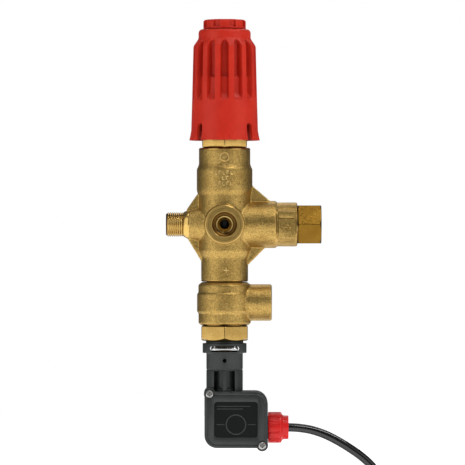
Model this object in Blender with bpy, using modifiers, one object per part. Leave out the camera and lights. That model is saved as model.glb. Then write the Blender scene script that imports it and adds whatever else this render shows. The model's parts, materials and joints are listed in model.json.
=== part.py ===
"""Pressure-regulating unloader valve with a clip-on pressure switch.

Units are metres, +Z up. The origin is the centre of the inlet port's end face, and every
piece is placed from the valve's own axis, a vertical line AXIS_X to the right of it.
X runs towards the outlet, Z up to the adjusting knob, and -Y is the front.
"""
import math

import bmesh
import bpy
from mathutils import Matrix, Vector

# ---- driving dimensions ----
AXIS_X = 0.0400            # inlet end face to valve axis
GAP = 0.0003               # clearance between pieces that touch

# forged body
COLLAR_R = 0.0175
NECK_R = 0.0190
TRUNK_R = 0.0182
LOWER_R = 0.0160
BODY_TOP = 0.0522
BODY_FOOT = -0.0390
OUTLET_ARM_R = 0.0161
OUTLET_ARM_END = 0.0353
WRENCH_BLOCK_R = 0.0150
WRENCH_BLOCK_END = 0.0495
WRENCH_PAD_Y = 0.0136
FRONT_BOSS_R = 0.0133
FRONT_FACE_Y = -0.0240
INLET_THREAD_R = 0.00833
WEB_THICKNESS = 0.0090
UPPER_BORE_R = 0.0142
GUIDE_BORE_R = 0.0120
CHAMBER_R = 0.0090
LOWER_BORE_R = 0.0124
ARM_BORE_R = 0.0110
FRONT_PORT_R = 0.0075
OUTLET_PORT_R = 0.0076
BYPASS_PORT_R = 0.0075

# outlet fitting, by-pass banjo and its screw
OUTLET_AF = 0.0259
OUTLET_END = 0.0660
BANJO_TOP = -0.0393
BANJO_FOOT = -0.0691
BANJO_PORT_Z = -0.0533
BANJO_PORT_END = 0.0322
BANJO_PORT_OUTER_R = 0.01245
BANJO_HEX_AF = 0.0316
BANJO_HEX_TOP = -0.0694
BANJO_HEX_FOOT = -0.0793
SHANK_R = 0.0120
SPIGOT_R = 0.0095
SPIGOT_FOOT = -0.0911

# spring housing, springs and knob
BONNET_AF = 0.0305
BONNET_BORE_R = 0.0115
BONNET_TOP = 0.0960
KNOB_FOOT = 0.0574
KNOB_TOP = 0.1330
KNOB_RIBS = 14
KNOB_RIB_WIDTH = 0.0037
KNOB_SLOT_WIDTH = 0.0042
KNOB_SLOTS = (-138, -42, 90)
CAP_R = 0.0145
CAP_TOP = 0.1397
CAP_NOTCHES = 8
MAIN_SPRING_R = 0.0086
MAIN_SPRING_WIRE = 0.0028
MAIN_SPRING_TURNS = 5.5
SPRING_FOOT = 0.0438
SPRING_TOP = 0.0762

# switch housing
TUBE_R = 0.01245
COLLAR_SW_R = 0.0150
TUBE_TOP = -0.0796
CLIP_Z = -0.0848
CLIP_LEG_X = 0.0081
CLIP_WIRE = 0.0024
BOX_LEFT = -0.0137
BOX_RIGHT = 0.0294
BOX_TOP = -0.1137
BOX_FOOT = -0.1520
BOX_CORNER = 0.0085
LUG_R = 0.0040
LUGS = ((-0.0101, -0.1152), (0.0256, -0.1502))
BOX_FRONT_Y = -0.0116
BOX_BACK_Y = 0.0135
BOX_WALL = 0.0024
GASKET_THICKNESS = 0.0006
LID_THICKNESS = 0.0020
PANEL = (-0.0071, 0.0226, -0.1448, -0.1205)

# microswitch: a common 27.8 x 15.9 x 10.3 mm snap switch
MICRO_LEFT = -0.0089
MICRO_SIZE = (0.0278, 0.0103, 0.0159)
MICRO_TOP = -0.1230
MICRO_HOLES = ((-0.0058, -0.1360), (0.0160, -0.1260))
TERMINAL_X = (-0.0055, 0.0050, 0.0155)

# gland and cable
CABLE_Z = -0.1386
CABLE_R = 0.00295
GLAND_R = 0.0105
GLAND_START = 0.0297
GLAND_END = 0.0436
FLOOR_Z = -0.2250
TIE_THICKNESS = 0.0008
CABLE_FLOOR_Z = FLOOR_Z + TIE_THICKNESS + GAP + CABLE_R
COIL_CENTRE = (0.0619, 0.0330)
COIL_OUTER_R = 0.0438
COIL_INNER_R = 0.0217
COIL_HEIGHT = 0.0122
TIE_ANGLE = math.radians(205)
TIE_HALF_WIDTH = 0.0018
CORE_R = 0.0009

BRASS_CAST = ("forged_brass", (0.46, 0.31, 0.12), 0.38, 1.0)
BRASS = ("machined_brass", (0.62, 0.45, 0.18), 0.22, 1.0)
STEEL = ("stainless_steel", (0.62, 0.61, 0.60), 0.25, 1.0)
SPRING_STEEL = ("spring_steel", (0.42, 0.42, 0.44), 0.35, 1.0)
RED = ("red_plastic", (0.60, 0.025, 0.018), 0.42, 0.0)
GLAND_RED = ("gland_red_plastic", (0.62, 0.015, 0.012), 0.35, 0.0)
BLACK = ("black_plastic", (0.045, 0.050, 0.050), 0.45, 0.0)
RUBBER = ("black_rubber", (0.02, 0.02, 0.02), 0.7, 0.0)
CABLE = ("cable_sheath", (0.012, 0.012, 0.013), 0.35, 0.0)
COPPER = ("tinned_copper", (0.70, 0.62, 0.52), 0.3, 1.0)
PHENOLIC = ("microswitch_case", (0.10, 0.10, 0.11), 0.5, 0.0)
BUTTON_RED = ("button_plastic", (0.65, 0.05, 0.03), 0.4, 0.0)
WIRE_BROWN = ("wire_brown", (0.15, 0.06, 0.02), 0.45, 0.0)
WIRE_BLUE = ("wire_blue", (0.02, 0.08, 0.40), 0.45, 0.0)
WIRE_BLACK = ("wire_black", (0.02, 0.02, 0.02), 0.45, 0.0)

ALONG_Z = (0.0, 0.0, 0.0)
ALONG_X = (0.0, math.radians(90), 0.0)
ALONG_MINUS_Y = (math.radians(90), 0.0, 0.0)


# ---- scene helpers ----
def clear_scene():
    for item in list(bpy.data.objects):
        bpy.data.objects.remove(item, do_unlink=True)


def new_collection(name):
    group = bpy.data.collections.new(name)
    bpy.context.scene.collection.children.link(group)
    return group


clear_scene()
PARTS = new_collection("unloader_valve_with_pressure_switch")
TOOLS = new_collection("cutters_and_tools")
VALVE_AXIS = bpy.data.objects.new("valve_axis", None)
VALVE_AXIS.location = (AXIS_X, 0.0, 0.0)
PARTS.objects.link(VALVE_AXIS)


def pivot(name, place=(0.0, 0.0, 0.0)):
    """An empty on a joint's axis; the pieces of one moving body are its children."""
    empty = bpy.data.objects.new(name, None)
    empty.location = place
    empty.parent = VALVE_AXIS
    PARTS.objects.link(empty)
    return empty


def finish_material(spec):
    name, colour, roughness, metallic = spec
    found = bpy.data.materials.get(name)
    if found:
        return found
    made = bpy.data.materials.new(name)
    made.use_nodes = True
    shader = made.node_tree.nodes["Principled BSDF"]
    shader.inputs["Base Color"].default_value = (*colour, 1.0)
    shader.inputs["Roughness"].default_value = roughness
    shader.inputs["Metallic"].default_value = metallic
    made.diffuse_color = (*colour, 1.0)
    return made


def add(name, data, finish=None, parent=None, place=(0.0, 0.0, 0.0), turn=ALONG_Z):
    """Link a new object: a part if it has a finish, else a tool for a Boolean."""
    item = bpy.data.objects.new(name, data)
    item.location = Vector(place) - (parent.location if parent else Vector())
    item.rotation_euler = turn
    item.parent = parent or VALVE_AXIS
    if finish:
        data.materials.append(finish_material(finish))
        PARTS.objects.link(item)
    else:
        TOOLS.objects.link(item)
        item.hide_render = True
        item.display_type = "WIRE"
    return item


def mesh_from(name, work):
    mesh = bpy.data.meshes.new(name)
    work.to_mesh(mesh)
    work.free()
    mesh.shade_smooth()
    mesh.set_sharp_from_angle(angle=math.radians(32))
    return mesh


def turned(name, profile, steps=20, **where):
    """Turn a profile of (radius, height), drawn top to bottom down its outer side.

    A profile that starts and ends on the axis makes a solid; any other is closed to a ring.
    """
    work = bmesh.new()
    points = [work.verts.new((radius, 0.0, height)) for radius, height in profile]
    for first, second in zip(points, points[1:]):
        work.edges.new((first, second))
    if profile[0][0] > 0.0:
        work.edges.new((points[-1], points[0]))
    item = add(name, mesh_from(name, work), **where)
    screw = item.modifiers.new("turn", "SCREW")
    screw.axis = "Z"
    screw.angle = math.radians(360)
    screw.steps = steps
    screw.render_steps = steps
    screw.use_merge_vertices = True
    screw.merge_threshold = 0.00001
    return item


def rod(name, radius, low, high, steps=16, **where):
    return turned(name, [(0.0, high), (radius, high), (radius, low), (0.0, low)], steps, **where)


def block(name, low, high, **where):
    work = bmesh.new()
    bmesh.ops.create_cube(work, size=1.0)
    size = [b - a for a, b in zip(low, high)]
    middle = [(a + b) / 2 for a, b in zip(low, high)]
    bmesh.ops.scale(work, vec=size, verts=work.verts)
    bmesh.ops.translate(work, vec=middle, verts=work.verts)
    return add(name, mesh_from(name, work), **where)


def hexagon(name, across_flats, low, high, corner=-90, **where):
    """A six-sided bar along local Z, with one of its edges at the angle corner, in degrees."""
    work = bmesh.new()
    radius = across_flats / math.sqrt(3)
    bmesh.ops.create_cone(work, cap_ends=True, segments=6, radius1=radius, radius2=radius,
                          depth=high - low)
    first = max(work.verts, key=lambda v: v.co.x)
    turn = math.radians(corner) - math.atan2(first.co.y, first.co.x)
    bmesh.ops.rotate(work, verts=work.verts, cent=(0, 0, 0),
                     matrix=Matrix.Rotation(turn, 3, "Z"))
    bmesh.ops.translate(work, verts=work.verts, vec=(0.0, 0.0, (low + high) / 2))
    return add(name, mesh_from(name, work), **where)


def solid_from_curve(name, curve, **where):
    """Turn a curve into a welded mesh, so that it can be cut and joined."""
    shape = bpy.data.objects.new(name, curve)
    bpy.context.scene.collection.objects.link(shape)
    graph = bpy.context.evaluated_depsgraph_get()
    mesh = bpy.data.meshes.new_from_object(shape.evaluated_get(graph))
    bpy.data.objects.remove(shape, do_unlink=True)
    work = bmesh.new()
    work.from_mesh(mesh)
    bmesh.ops.remove_doubles(work, verts=work.verts, dist=0.000001)
    work.to_mesh(mesh)
    work.free()
    return add(name, mesh, **where)


def plate(name, outline, front, back, **where):
    """A flat plate in the XZ plane from y = front to y = back."""
    curve = bpy.data.curves.new(name, "CURVE")
    curve.dimensions = "2D"
    curve.fill_mode = "BOTH"
    curve.extrude = (back - front) / 2
    spline = curve.splines.new("POLY")
    spline.points.add(len(outline) - 1)
    for point, (x, z) in zip(spline.points, outline):
        point.co = (x, z, 0.0, 1.0)
    spline.use_cyclic_u = True
    item = solid_from_curve(name, curve, **where)
    middle = (front + back) / 2
    for vertex in item.data.vertices:
        x, z, depth = vertex.co
        vertex.co = (x, middle - depth, z)
    return item


def wire(name, points, radius, **where):
    """A round wire or tube through the points, closed at both ends."""
    curve = bpy.data.curves.new(name, "CURVE")
    curve.dimensions = "3D"
    curve.bevel_depth = radius
    curve.bevel_resolution = 2
    curve.use_fill_caps = True
    spline = curve.splines.new("POLY")
    spline.points.add(len(points) - 1)
    for point, place in zip(spline.points, points):
        point.co = (*place, 1.0)
    return add(name, curve, **where)


def boolean(item, tool, operation):
    step = item.modifiers.new(operation.lower() + "_" + tool.name, "BOOLEAN")
    step.operation = operation
    step.object = tool
    step.solver = "EXACT"


def cut(item, *tools):
    for tool in tools:
        boolean(item, tool, "DIFFERENCE")


def join(item, *tools):
    for tool in tools:
        boolean(item, tool, "UNION")


def keep_inside(item, tool):
    boolean(item, tool, "INTERSECT")


def arc(centre, radius, start, end, count):
    """Points on an arc from start to end, in degrees."""
    x, z = centre
    angles = [math.radians(start + (end - start) * i / count) for i in range(count + 1)]
    return [(x + radius * math.cos(a), z + radius * math.sin(a)) for a in angles]


def o_ring(name, ring_r, section_r, height, **where):
    """An O-ring whose section is centred at ring_r from the axis."""
    sides = 4
    angles = [math.radians(90 - 360 * i / sides) for i in range(sides)]
    profile = [(ring_r + section_r * math.cos(a), height + section_r * math.sin(a))
               for a in angles]
    return turned(name, profile, steps=20, finish=RUBBER, **where)


def helix(radius, low, high, turns, per_turn, along_x=False):
    """Points of a compression spring, with its end turns closed up flat."""
    count = int(turns * per_turn)
    points = []
    for i in range(count + 1):
        t = i / count
        rise = t - math.sin(2 * math.pi * t) / (2 * math.pi * turns)
        height = low + (high - low) * rise
        angle = 2 * math.pi * turns * t
        across = radius * math.cos(angle)
        depth = radius * math.sin(angle)
        points.append((height, depth, across) if along_x else (across, depth, height))
    return points


def smooth_route(points, spacing):
    """Evenly spaced points on a Catmull-Rom curve through the route's own points."""
    ends = [points[0]] + list(points) + [points[-1]]
    fine = []
    for a, b, c, d in zip(ends, ends[1:], ends[2:], ends[3:]):
        a, b, c, d = Vector(a), Vector(b), Vector(c), Vector(d)
        for i in range(12):
            t = i / 12
            fine.append(0.5 * (2 * b + (c - a) * t + (2 * a - 5 * b + 4 * c - d) * t * t
                               + (3 * b - a - 3 * c + d) * t ** 3))
    fine.append(Vector(points[-1]))
    length = sum((q - p).length for p, q in zip(fine, fine[1:]))
    count = max(2, round(length / spacing))
    result = [fine[0]]
    walked = 0.0
    for p, q in zip(fine, fine[1:]):
        step = (q - p).length
        while len(result) < count and walked + step >= length * len(result) / count:
            along = length * len(result) / count - walked
            result.append(p.lerp(q, along / step))
        walked += step
    result.append(fine[-1])
    return result


# ---- the forged valve body and the pieces inside it ----
def valve_body():
    body = turned("valve_body", [
        (0.0, BODY_TOP), (COLLAR_R - 0.0006, BODY_TOP), (COLLAR_R, BODY_TOP - 0.0006),
        (COLLAR_R, 0.0410), (NECK_R, 0.0376), (NECK_R, 0.0240), (TRUNK_R, 0.0208),
        (TRUNK_R, -0.0200), (LOWER_R, -0.0220), (LOWER_R, -0.0382),
        (LOWER_R - 0.0006, BODY_FOOT), (0.0, BODY_FOOT)], steps=28, finish=BRASS_CAST)
    arm = turned("tool_outlet_arm", [
        (0.0, WRENCH_BLOCK_END), (WRENCH_BLOCK_R - 0.0006, WRENCH_BLOCK_END),
        (WRENCH_BLOCK_R, WRENCH_BLOCK_END - 0.0006), (WRENCH_BLOCK_R, OUTLET_ARM_END + 0.0006),
        (OUTLET_ARM_R, OUTLET_ARM_END), (OUTLET_ARM_R, 0.0), (0.0, 0.0)],
        steps=28, turn=ALONG_X)
    pad = block("tool_wrench_pad", (0.0362, -WRENCH_PAD_Y - 0.0002, -0.00935),
                (0.0483, WRENCH_PAD_Y + 0.0002, 0.00935))
    flat_front = block("tool_flat_front", (OUTLET_ARM_END + 0.0007, -0.0250, -0.0200),
                       (0.0520, -WRENCH_PAD_Y, 0.0200))
    flat_back = block("tool_flat_back", (OUTLET_ARM_END + 0.0007, WRENCH_PAD_Y, -0.0200),
                      (0.0520, 0.0250, 0.0200))
    inlet = turned("tool_inlet_arm", [
        (0.0, -0.0080), (0.0140, -0.0080), (0.0103, -0.0247), (0.0086, -0.0280),
        (INLET_THREAD_R, -0.0284), (INLET_THREAD_R, -0.0390), (0.0073, -AXIS_X),
        (0.0, -AXIS_X)], steps=20, turn=ALONG_X)
    front_rim = turned("tool_front_rim", [
        (0.0, -FRONT_FACE_Y), (FRONT_BOSS_R - 0.0008, -FRONT_FACE_Y),
        (FRONT_BOSS_R, -FRONT_FACE_Y - 0.0008), (FRONT_BOSS_R, 0.0), (0.0, 0.0)],
        steps=24, turn=ALONG_MINUS_Y)
    rear = turned("tool_rear_boss", [
        (0.0, 0.0), (0.0110, 0.0), (0.0110, -0.0203), (0.0098, -0.0212), (0.0, -0.0212)],
        steps=28, turn=ALONG_MINUS_Y)
    webs = plate("tool_webs", [
        (-0.0259, 0.0101), (-0.0190, 0.0201), (-0.0100, 0.0260), (0.0182, 0.0270),
        (0.0310, 0.0160), (0.0310, -0.0130), (0.0276, -0.0160), (0.0163, -0.0273),
        (-0.0158, -0.0252), (-0.0254, -0.0094)], -WEB_THICKNESS / 2, WEB_THICKNESS / 2)
    cut(arm, flat_front, flat_back)
    join(body, webs, arm, inlet, front_rim, rear, pad)
    bores = turned("cutter_main_bore", [
        (0.0, 0.0540), (UPPER_BORE_R, 0.0540), (UPPER_BORE_R, 0.0360), (GUIDE_BORE_R, 0.0360),
        (GUIDE_BORE_R, 0.0220), (CHAMBER_R, 0.0220), (CHAMBER_R, -0.0215),
        (LOWER_BORE_R, -0.0215), (LOWER_BORE_R, -0.0410), (0.0, -0.0410)], steps=24)
    arm_bore = turned("cutter_arm_bore", [
        (0.0, 0.0520), (ARM_BORE_R, 0.0520), (ARM_BORE_R, 0.0185), (0.0065, 0.0185),
        (0.0065, 0.0), (0.0, 0.0)], steps=20, turn=ALONG_X)
    inlet_bore = turned("cutter_inlet_bore", [
        (0.0, 0.0), (0.0055, 0.0), (0.0055, -AXIS_X + 0.0006), (0.0068, -AXIS_X - 0.0010),
        (0.0, -AXIS_X - 0.0010)], steps=16, turn=ALONG_X)
    front_bore = turned("cutter_front_bore", [
        (0.0, 0.0255), (0.01025, 0.0255), (FRONT_PORT_R, 0.02275), (FRONT_PORT_R, 0.0120),
        (0.0028, 0.0095), (0.0028, 0.0), (0.0, 0.0)], steps=20, turn=ALONG_MINUS_Y)
    cut(body, bores, arm_bore, inlet_bore, front_bore)
    return body


def spring_housing():
    shell = turned("spring_housing", [
        (0.0142, BONNET_TOP), (0.0142, 0.0617), (0.0142, 0.0530), (0.0138, 0.0520),
        (0.0138, 0.0363), (BONNET_BORE_R, 0.0363), (BONNET_BORE_R, 0.0880), (0.0063, 0.0880),
        (0.0063, BONNET_TOP)], finish=BRASS)
    nut = hexagon("tool_bonnet_hex", BONNET_AF, BODY_TOP + GAP, 0.0620)
    hollow = rod("cutter_bonnet_hex", 0.0130, 0.0500, 0.0640)
    cut(nut, hollow)
    join(shell, nut)


def inner_valve(stem_pivot):
    guide = [(0.0117, 0.0357), (0.0117, 0.0302), (0.0101, 0.0302), (0.0101, 0.0278),
             (0.0117, 0.0278), (0.0117, 0.0223), (0.0062, 0.0223), (0.0062, 0.0357)]
    turned("piston_guide", guide, finish=BRASS)
    o_ring("piston_guide_oring", 0.01105, 0.00075, 0.0290)
    turned("valve_seat", [
        (0.0120, -0.0218), (0.0120, -0.0240), (0.0103, -0.0240), (0.0103, -0.0262),
        (0.0120, -0.0262), (0.0120, -0.0282), (0.0040, -0.0282), (0.0040, -0.0240),
        (0.0062, -0.0218)], finish=STEEL)
    o_ring("valve_seat_oring", 0.01133, 0.00085, -0.0251)
    # the stem, its piston land and the poppet rise together when the by-pass opens
    turned("piston_stem", [
        (0.0, 0.0505), (0.0030, 0.0505), (0.0030, 0.0400), (0.0059, 0.0400), (0.0059, 0.0303),
        (0.0048, 0.0303), (0.0048, 0.0287), (0.0059, 0.0287), (0.0059, 0.0240),
        (0.0035, 0.0240), (0.0035, -0.0137), (0.0022, -0.0137), (0.0022, -0.0180),
        (0.0, -0.0180)], steps=16, finish=STEEL, parent=stem_pivot)
    o_ring("piston_oring", 0.00545, 0.00055, 0.0295, parent=stem_pivot)
    turned("poppet", [
        (0.0, -0.0183), (0.0025, -0.0183), (0.0025, -0.0140), (0.0060, -0.0140),
        (0.0060, -0.02145), (0.0032, -0.02425), (0.0, -0.02425)], steps=16, finish=STEEL,
        parent=stem_pivot)
    turned("lower_spring_plate", [
        (0.0066, 0.0460), (0.0066, 0.0435), (0.0108, 0.0435), (0.0108, 0.0403),
        (0.0033, 0.0403), (0.0033, 0.0460)], finish=STEEL, parent=stem_pivot)
    nut = hexagon("stem_lock_nut", 0.0100, 0.0463, 0.0498, finish=STEEL, parent=stem_pivot)
    cut(nut, rod("cutter_stem_nut", 0.0033, 0.0450, 0.0510, steps=12))
    coil = helix(MAIN_SPRING_R, SPRING_FOOT + MAIN_SPRING_WIRE / 2,
                 SPRING_TOP - MAIN_SPRING_WIRE / 2, MAIN_SPRING_TURNS, 9)
    wire("main_spring", coil, MAIN_SPRING_WIRE / 2, finish=SPRING_STEEL)


def outlet_fitting(poppet_pivot):
    turned("check_seat", [
        (0.0107, 0.0225), (0.0107, 0.0188), (0.0055, 0.0188), (0.0055, 0.0215),
        (0.0065, 0.0225)], finish=STEEL, turn=ALONG_X)
    turned("check_poppet", [
        (0.0, 0.0330), (0.0040, 0.0330), (0.0040, 0.0255), (0.0085, 0.0255), (0.0085, 0.0229),
        (0.0052, 0.0228), (0.0044, 0.0195), (0.0, 0.0195)], steps=16, finish=STEEL,
        parent=poppet_pivot, turn=ALONG_X)
    coil = helix(0.0060, 0.0258 + 0.0006, 0.0377 - 0.0006, 4.5, 8, along_x=True)
    wire("check_spring", coil, 0.0006, finish=SPRING_STEEL)
    fitting = turned("outlet_fitting", [
        (0.0107, 0.0500), (0.0107, 0.0482), (0.0092, 0.0482), (0.0092, 0.0460),
        (0.0107, 0.0460), (0.0107, 0.0380), (0.0055, 0.0380), (0.0055, 0.0500)],
        finish=BRASS, turn=ALONG_X)
    # the hexagon's front edge faces the viewer, its end edges chamfered by a turned blank
    nut = hexagon("tool_outlet_hex", OUTLET_AF, WRENCH_BLOCK_END + GAP, OUTLET_END, corner=-90,
                  turn=ALONG_X)
    blank_r = OUTLET_AF / math.sqrt(3) + 0.0003
    blank = turned("tool_outlet_blank", [
        (0.0, OUTLET_END), (0.0127, OUTLET_END), (blank_r, OUTLET_END - 0.0014),
        (blank_r, 0.0510), (0.0133, WRENCH_BLOCK_END), (0.0, WRENCH_BLOCK_END)],
        steps=24, turn=ALONG_X)
    keep_inside(nut, blank)
    join(fitting, nut)
    port = turned("cutter_outlet_port", [
        (0.0, 0.0670), (0.0098, 0.0670), (OUTLET_PORT_R, 0.0648), (OUTLET_PORT_R, 0.0540),
        (0.0055, 0.0525), (0.0055, 0.0360), (0.0, 0.0360)], steps=20, turn=ALONG_X)
    cut(fitting, port)
    o_ring("outlet_oring", 0.01005, 0.00078, 0.0471, turn=ALONG_X)


# ---- the by-pass banjo and its hollow screw ----
def bypass_banjo(banjo_pivot):
    ring = turned("bypass_banjo", [
        (0.0, BANJO_TOP), (0.0154, BANJO_TOP), (0.0179, -0.0413), (0.0179, -0.0466),
        (0.0188, -0.0474), (0.0188, -0.0596), (0.0178, -0.0604), (0.0178, -0.0673),
        (0.0155, BANJO_FOOT), (0.0, BANJO_FOOT)], steps=24, finish=BRASS_CAST,
        parent=banjo_pivot)
    port = turned("tool_banjo_port", [
        (0.0, BANJO_PORT_END), (0.0112, BANJO_PORT_END), (BANJO_PORT_OUTER_R, 0.0310),
        (BANJO_PORT_OUTER_R, 0.0), (0.0, 0.0)], steps=20, turn=ALONG_X,
        place=(0.0, 0.0, BANJO_PORT_Z))
    bore = turned("cutter_banjo_bore", [
        (0.0, -0.0380), (LOWER_BORE_R, -0.0380), (LOWER_BORE_R, -0.0475), (0.0142, -0.0485),
        (0.0142, -0.0585), (LOWER_BORE_R, -0.0595), (LOWER_BORE_R, -0.0700), (0.0, -0.0700)],
        steps=20)
    way_out = turned("cutter_banjo_port", [
        (0.0, 0.0332), (0.0097, 0.0332), (BYPASS_PORT_R, 0.0310), (BYPASS_PORT_R, 0.0200),
        (0.0060, 0.0185), (0.0060, 0.0050), (0.0, 0.0050)], steps=16, turn=ALONG_X,
        place=(0.0, 0.0, BANJO_PORT_Z))
    join(ring, port)
    cut(ring, bore, way_out)


def banjo_screw():
    screw = turned("banjo_screw", [
        (0.0, -0.0285), (SHANK_R, -0.0285), (SHANK_R, -0.0426), (0.0104, -0.0426),
        (0.0104, -0.0450), (SHANK_R, -0.0450), (SHANK_R, -0.0475), (0.0088, -0.0485),
        (0.0088, -0.0585), (SHANK_R, -0.0595), (SHANK_R, -0.0622), (0.0104, -0.0622),
        (0.0104, -0.0646), (SHANK_R, -0.0646), (SHANK_R, -0.0720), (SPIGOT_R, -0.0750),
        (SPIGOT_R, -0.0833), (0.0066, -0.0833), (0.0066, -0.0863), (SPIGOT_R, -0.0863),
        (SPIGOT_R, SPIGOT_FOOT + 0.0008), (0.0087, SPIGOT_FOOT), (0.0, SPIGOT_FOOT)],
        finish=BRASS)
    head = hexagon("tool_banjo_hex", BANJO_HEX_AF, BANJO_HEX_FOOT, BANJO_HEX_TOP)
    blank_r = BANJO_HEX_AF / math.sqrt(3) + 0.0003
    blank = turned("tool_banjo_hex_blank", [
        (0.0, BANJO_HEX_TOP), (blank_r, BANJO_HEX_TOP), (blank_r, BANJO_HEX_FOOT + 0.0018),
        (0.0152, BANJO_HEX_FOOT), (0.0, BANJO_HEX_FOOT)], steps=24)
    keep_inside(head, blank)
    join(screw, head)
    bore = turned("cutter_screw_bore", [
        (0.0, -0.0270), (0.0070, -0.0270), (0.0070, -0.0600), (0.0020, -0.0640),
        (0.0020, -0.0740), (0.0032, -0.0745), (0.0032, -0.0980), (0.0, -0.0980)], steps=20)
    cross = rod("cutter_cross_hole", 0.0033, -0.0130, 0.0130, steps=12, turn=ALONG_X,
                place=(0.0, 0.0, BANJO_PORT_Z))
    cut(screw, bore, cross)
    o_ring("banjo_oring_upper", 0.01133, 0.00085, -0.0438)
    o_ring("banjo_oring_lower", 0.01133, 0.00085, -0.0634)


# ---- the adjusting screw and knob ----
def knob_assembly(plate_pivot, knob_pivot):
    turned("upper_spring_plate", [
        (0.0, 0.0794), (0.0108, 0.0794), (0.0108, 0.0765), (0.0066, 0.0765),
        (0.0066, 0.0740), (0.0, 0.0740)], finish=STEEL, parent=plate_pivot)
    spindle = turned("adjusting_screw", [
        (0.0, 0.1280), (0.0030, 0.1280), (0.0030, 0.1210), (0.0050, 0.1210), (0.0050, 0.1120),
        (0.0095, 0.1120), (0.0095, 0.1095), (0.0060, 0.1095), (0.0060, 0.0810),
        (0.0045, 0.0797), (0.0, 0.0797)], steps=16, finish=BRASS, parent=knob_pivot)
    drive = hexagon("tool_screw_drive", 0.0104, 0.1115, 0.1220)
    hollow = rod("cutter_screw_drive", 0.0045, 0.1100, 0.1230, steps=16)
    cut(drive, hollow)
    join(spindle, drive)
    nut = hexagon("knob_nut", 0.0130, 0.1228, 0.1272, finish=STEEL, parent=knob_pivot)
    cut(nut, rod("cutter_knob_nut", 0.0033, 0.1200, 0.1290, steps=12))

    knob = turned("adjusting_knob", [
        (0.0163, KNOB_TOP), (0.0178, 0.1315), (0.0178, 0.1270), (0.0168, 0.1265),
        (0.0168, 0.1012), (0.01875, 0.1000), (0.01875, 0.0880), (0.0222, 0.0843),
        (0.0228, 0.0640), (0.0241, KNOB_FOOT), (0.0219, KNOB_FOOT), (0.0206, 0.0640),
        (0.0200, 0.0820), (0.0148, 0.0860), (0.0148, 0.1123), (0.0064, 0.1123),
        (0.0064, 0.1225), (0.0112, 0.1225), (0.0112, KNOB_TOP)], steps=28, finish=RED,
        parent=knob_pivot)
    rib_outline = [(0.0158, 0.0850), (0.0220, 0.0850), (0.0222, 0.0860), (0.0212, 0.1215),
                   (0.0180, 0.1268), (0.0158, 0.1268)]
    half = KNOB_RIB_WIDTH / 2
    for i in range(KNOB_RIBS):
        angle = math.radians(-90 + 360 / KNOB_RIBS * (i + 0.5))
        rib = plate("tool_rib_%02d" % i, rib_outline, -half, half, turn=(0.0, 0.0, angle))
        join(knob, rib)
    for i, degrees in enumerate(KNOB_SLOTS):
        angle = math.radians(degrees)
        slot = block("cutter_knob_slot_%d" % i, (0.0170, -KNOB_SLOT_WIDTH / 2, 0.0560),
                     (0.0270, KNOB_SLOT_WIDTH / 2, 0.0690), turn=(0.0, 0.0, angle))
        cut(knob, slot)

    cap = turned("knob_cap", [
        (0.0, CAP_TOP), (CAP_R - 0.0015, CAP_TOP), (CAP_R, CAP_TOP - 0.0015),
        (CAP_R, KNOB_TOP + GAP), (0.0109, KNOB_TOP + GAP), (0.0109, 0.1290), (0.0, 0.1290)],
        steps=24, finish=RED, parent=knob_pivot)
    for i in range(CAP_NOTCHES):
        angle = math.radians(-90 + 360 / CAP_NOTCHES * (i + 0.5))
        notch = block("cutter_cap_notch_%d" % i, (CAP_R - 0.0011, -0.0022, 0.1350),
                      (CAP_R + 0.0020, 0.0022, 0.1410), turn=(0.0, 0.0, angle))
        cut(cap, notch)


# ---- the pressure switch ----
def box_outline(inset, lugs=True):
    """The switch box's rounded outline, with its screw lugs at two opposite corners."""
    left, right = BOX_LEFT + inset, BOX_RIGHT - inset
    low, high = BOX_FOOT + inset, BOX_TOP - inset
    big, small = BOX_CORNER - inset, max(0.0030 - inset, 0.0008)
    upper = arc((left + small, high - small), small, 90, 180, 2)
    lower = arc((right - small, low + small), small, 270, 360, 2)
    if lugs:
        radius = LUG_R - inset
        (x1, z1), (x2, z2) = LUGS
        upper = arc((x1, z1), radius, math.degrees(math.asin((high - z1) / radius)),
                    360 - math.degrees(math.acos((left - x1) / radius)), 7)
        lower = arc((x2, z2), radius, 180 - math.degrees(math.asin((low - z2) / radius)),
                    360 + math.degrees(math.acos((right - x2) / radius)), 7)
    return (arc((right - big, high - big), big, 0, 90, 5) + upper
            + arc((left + big, low + big), big, 180, 270, 5) + lower)


def lug_rods(name, radius, front, back):
    return [rod("%s_%d" % (name, i), radius, -back, -front, steps=12, turn=ALONG_MINUS_Y,
                place=(x, 0.0, z)) for i, (x, z) in enumerate(LUGS)]


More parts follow.
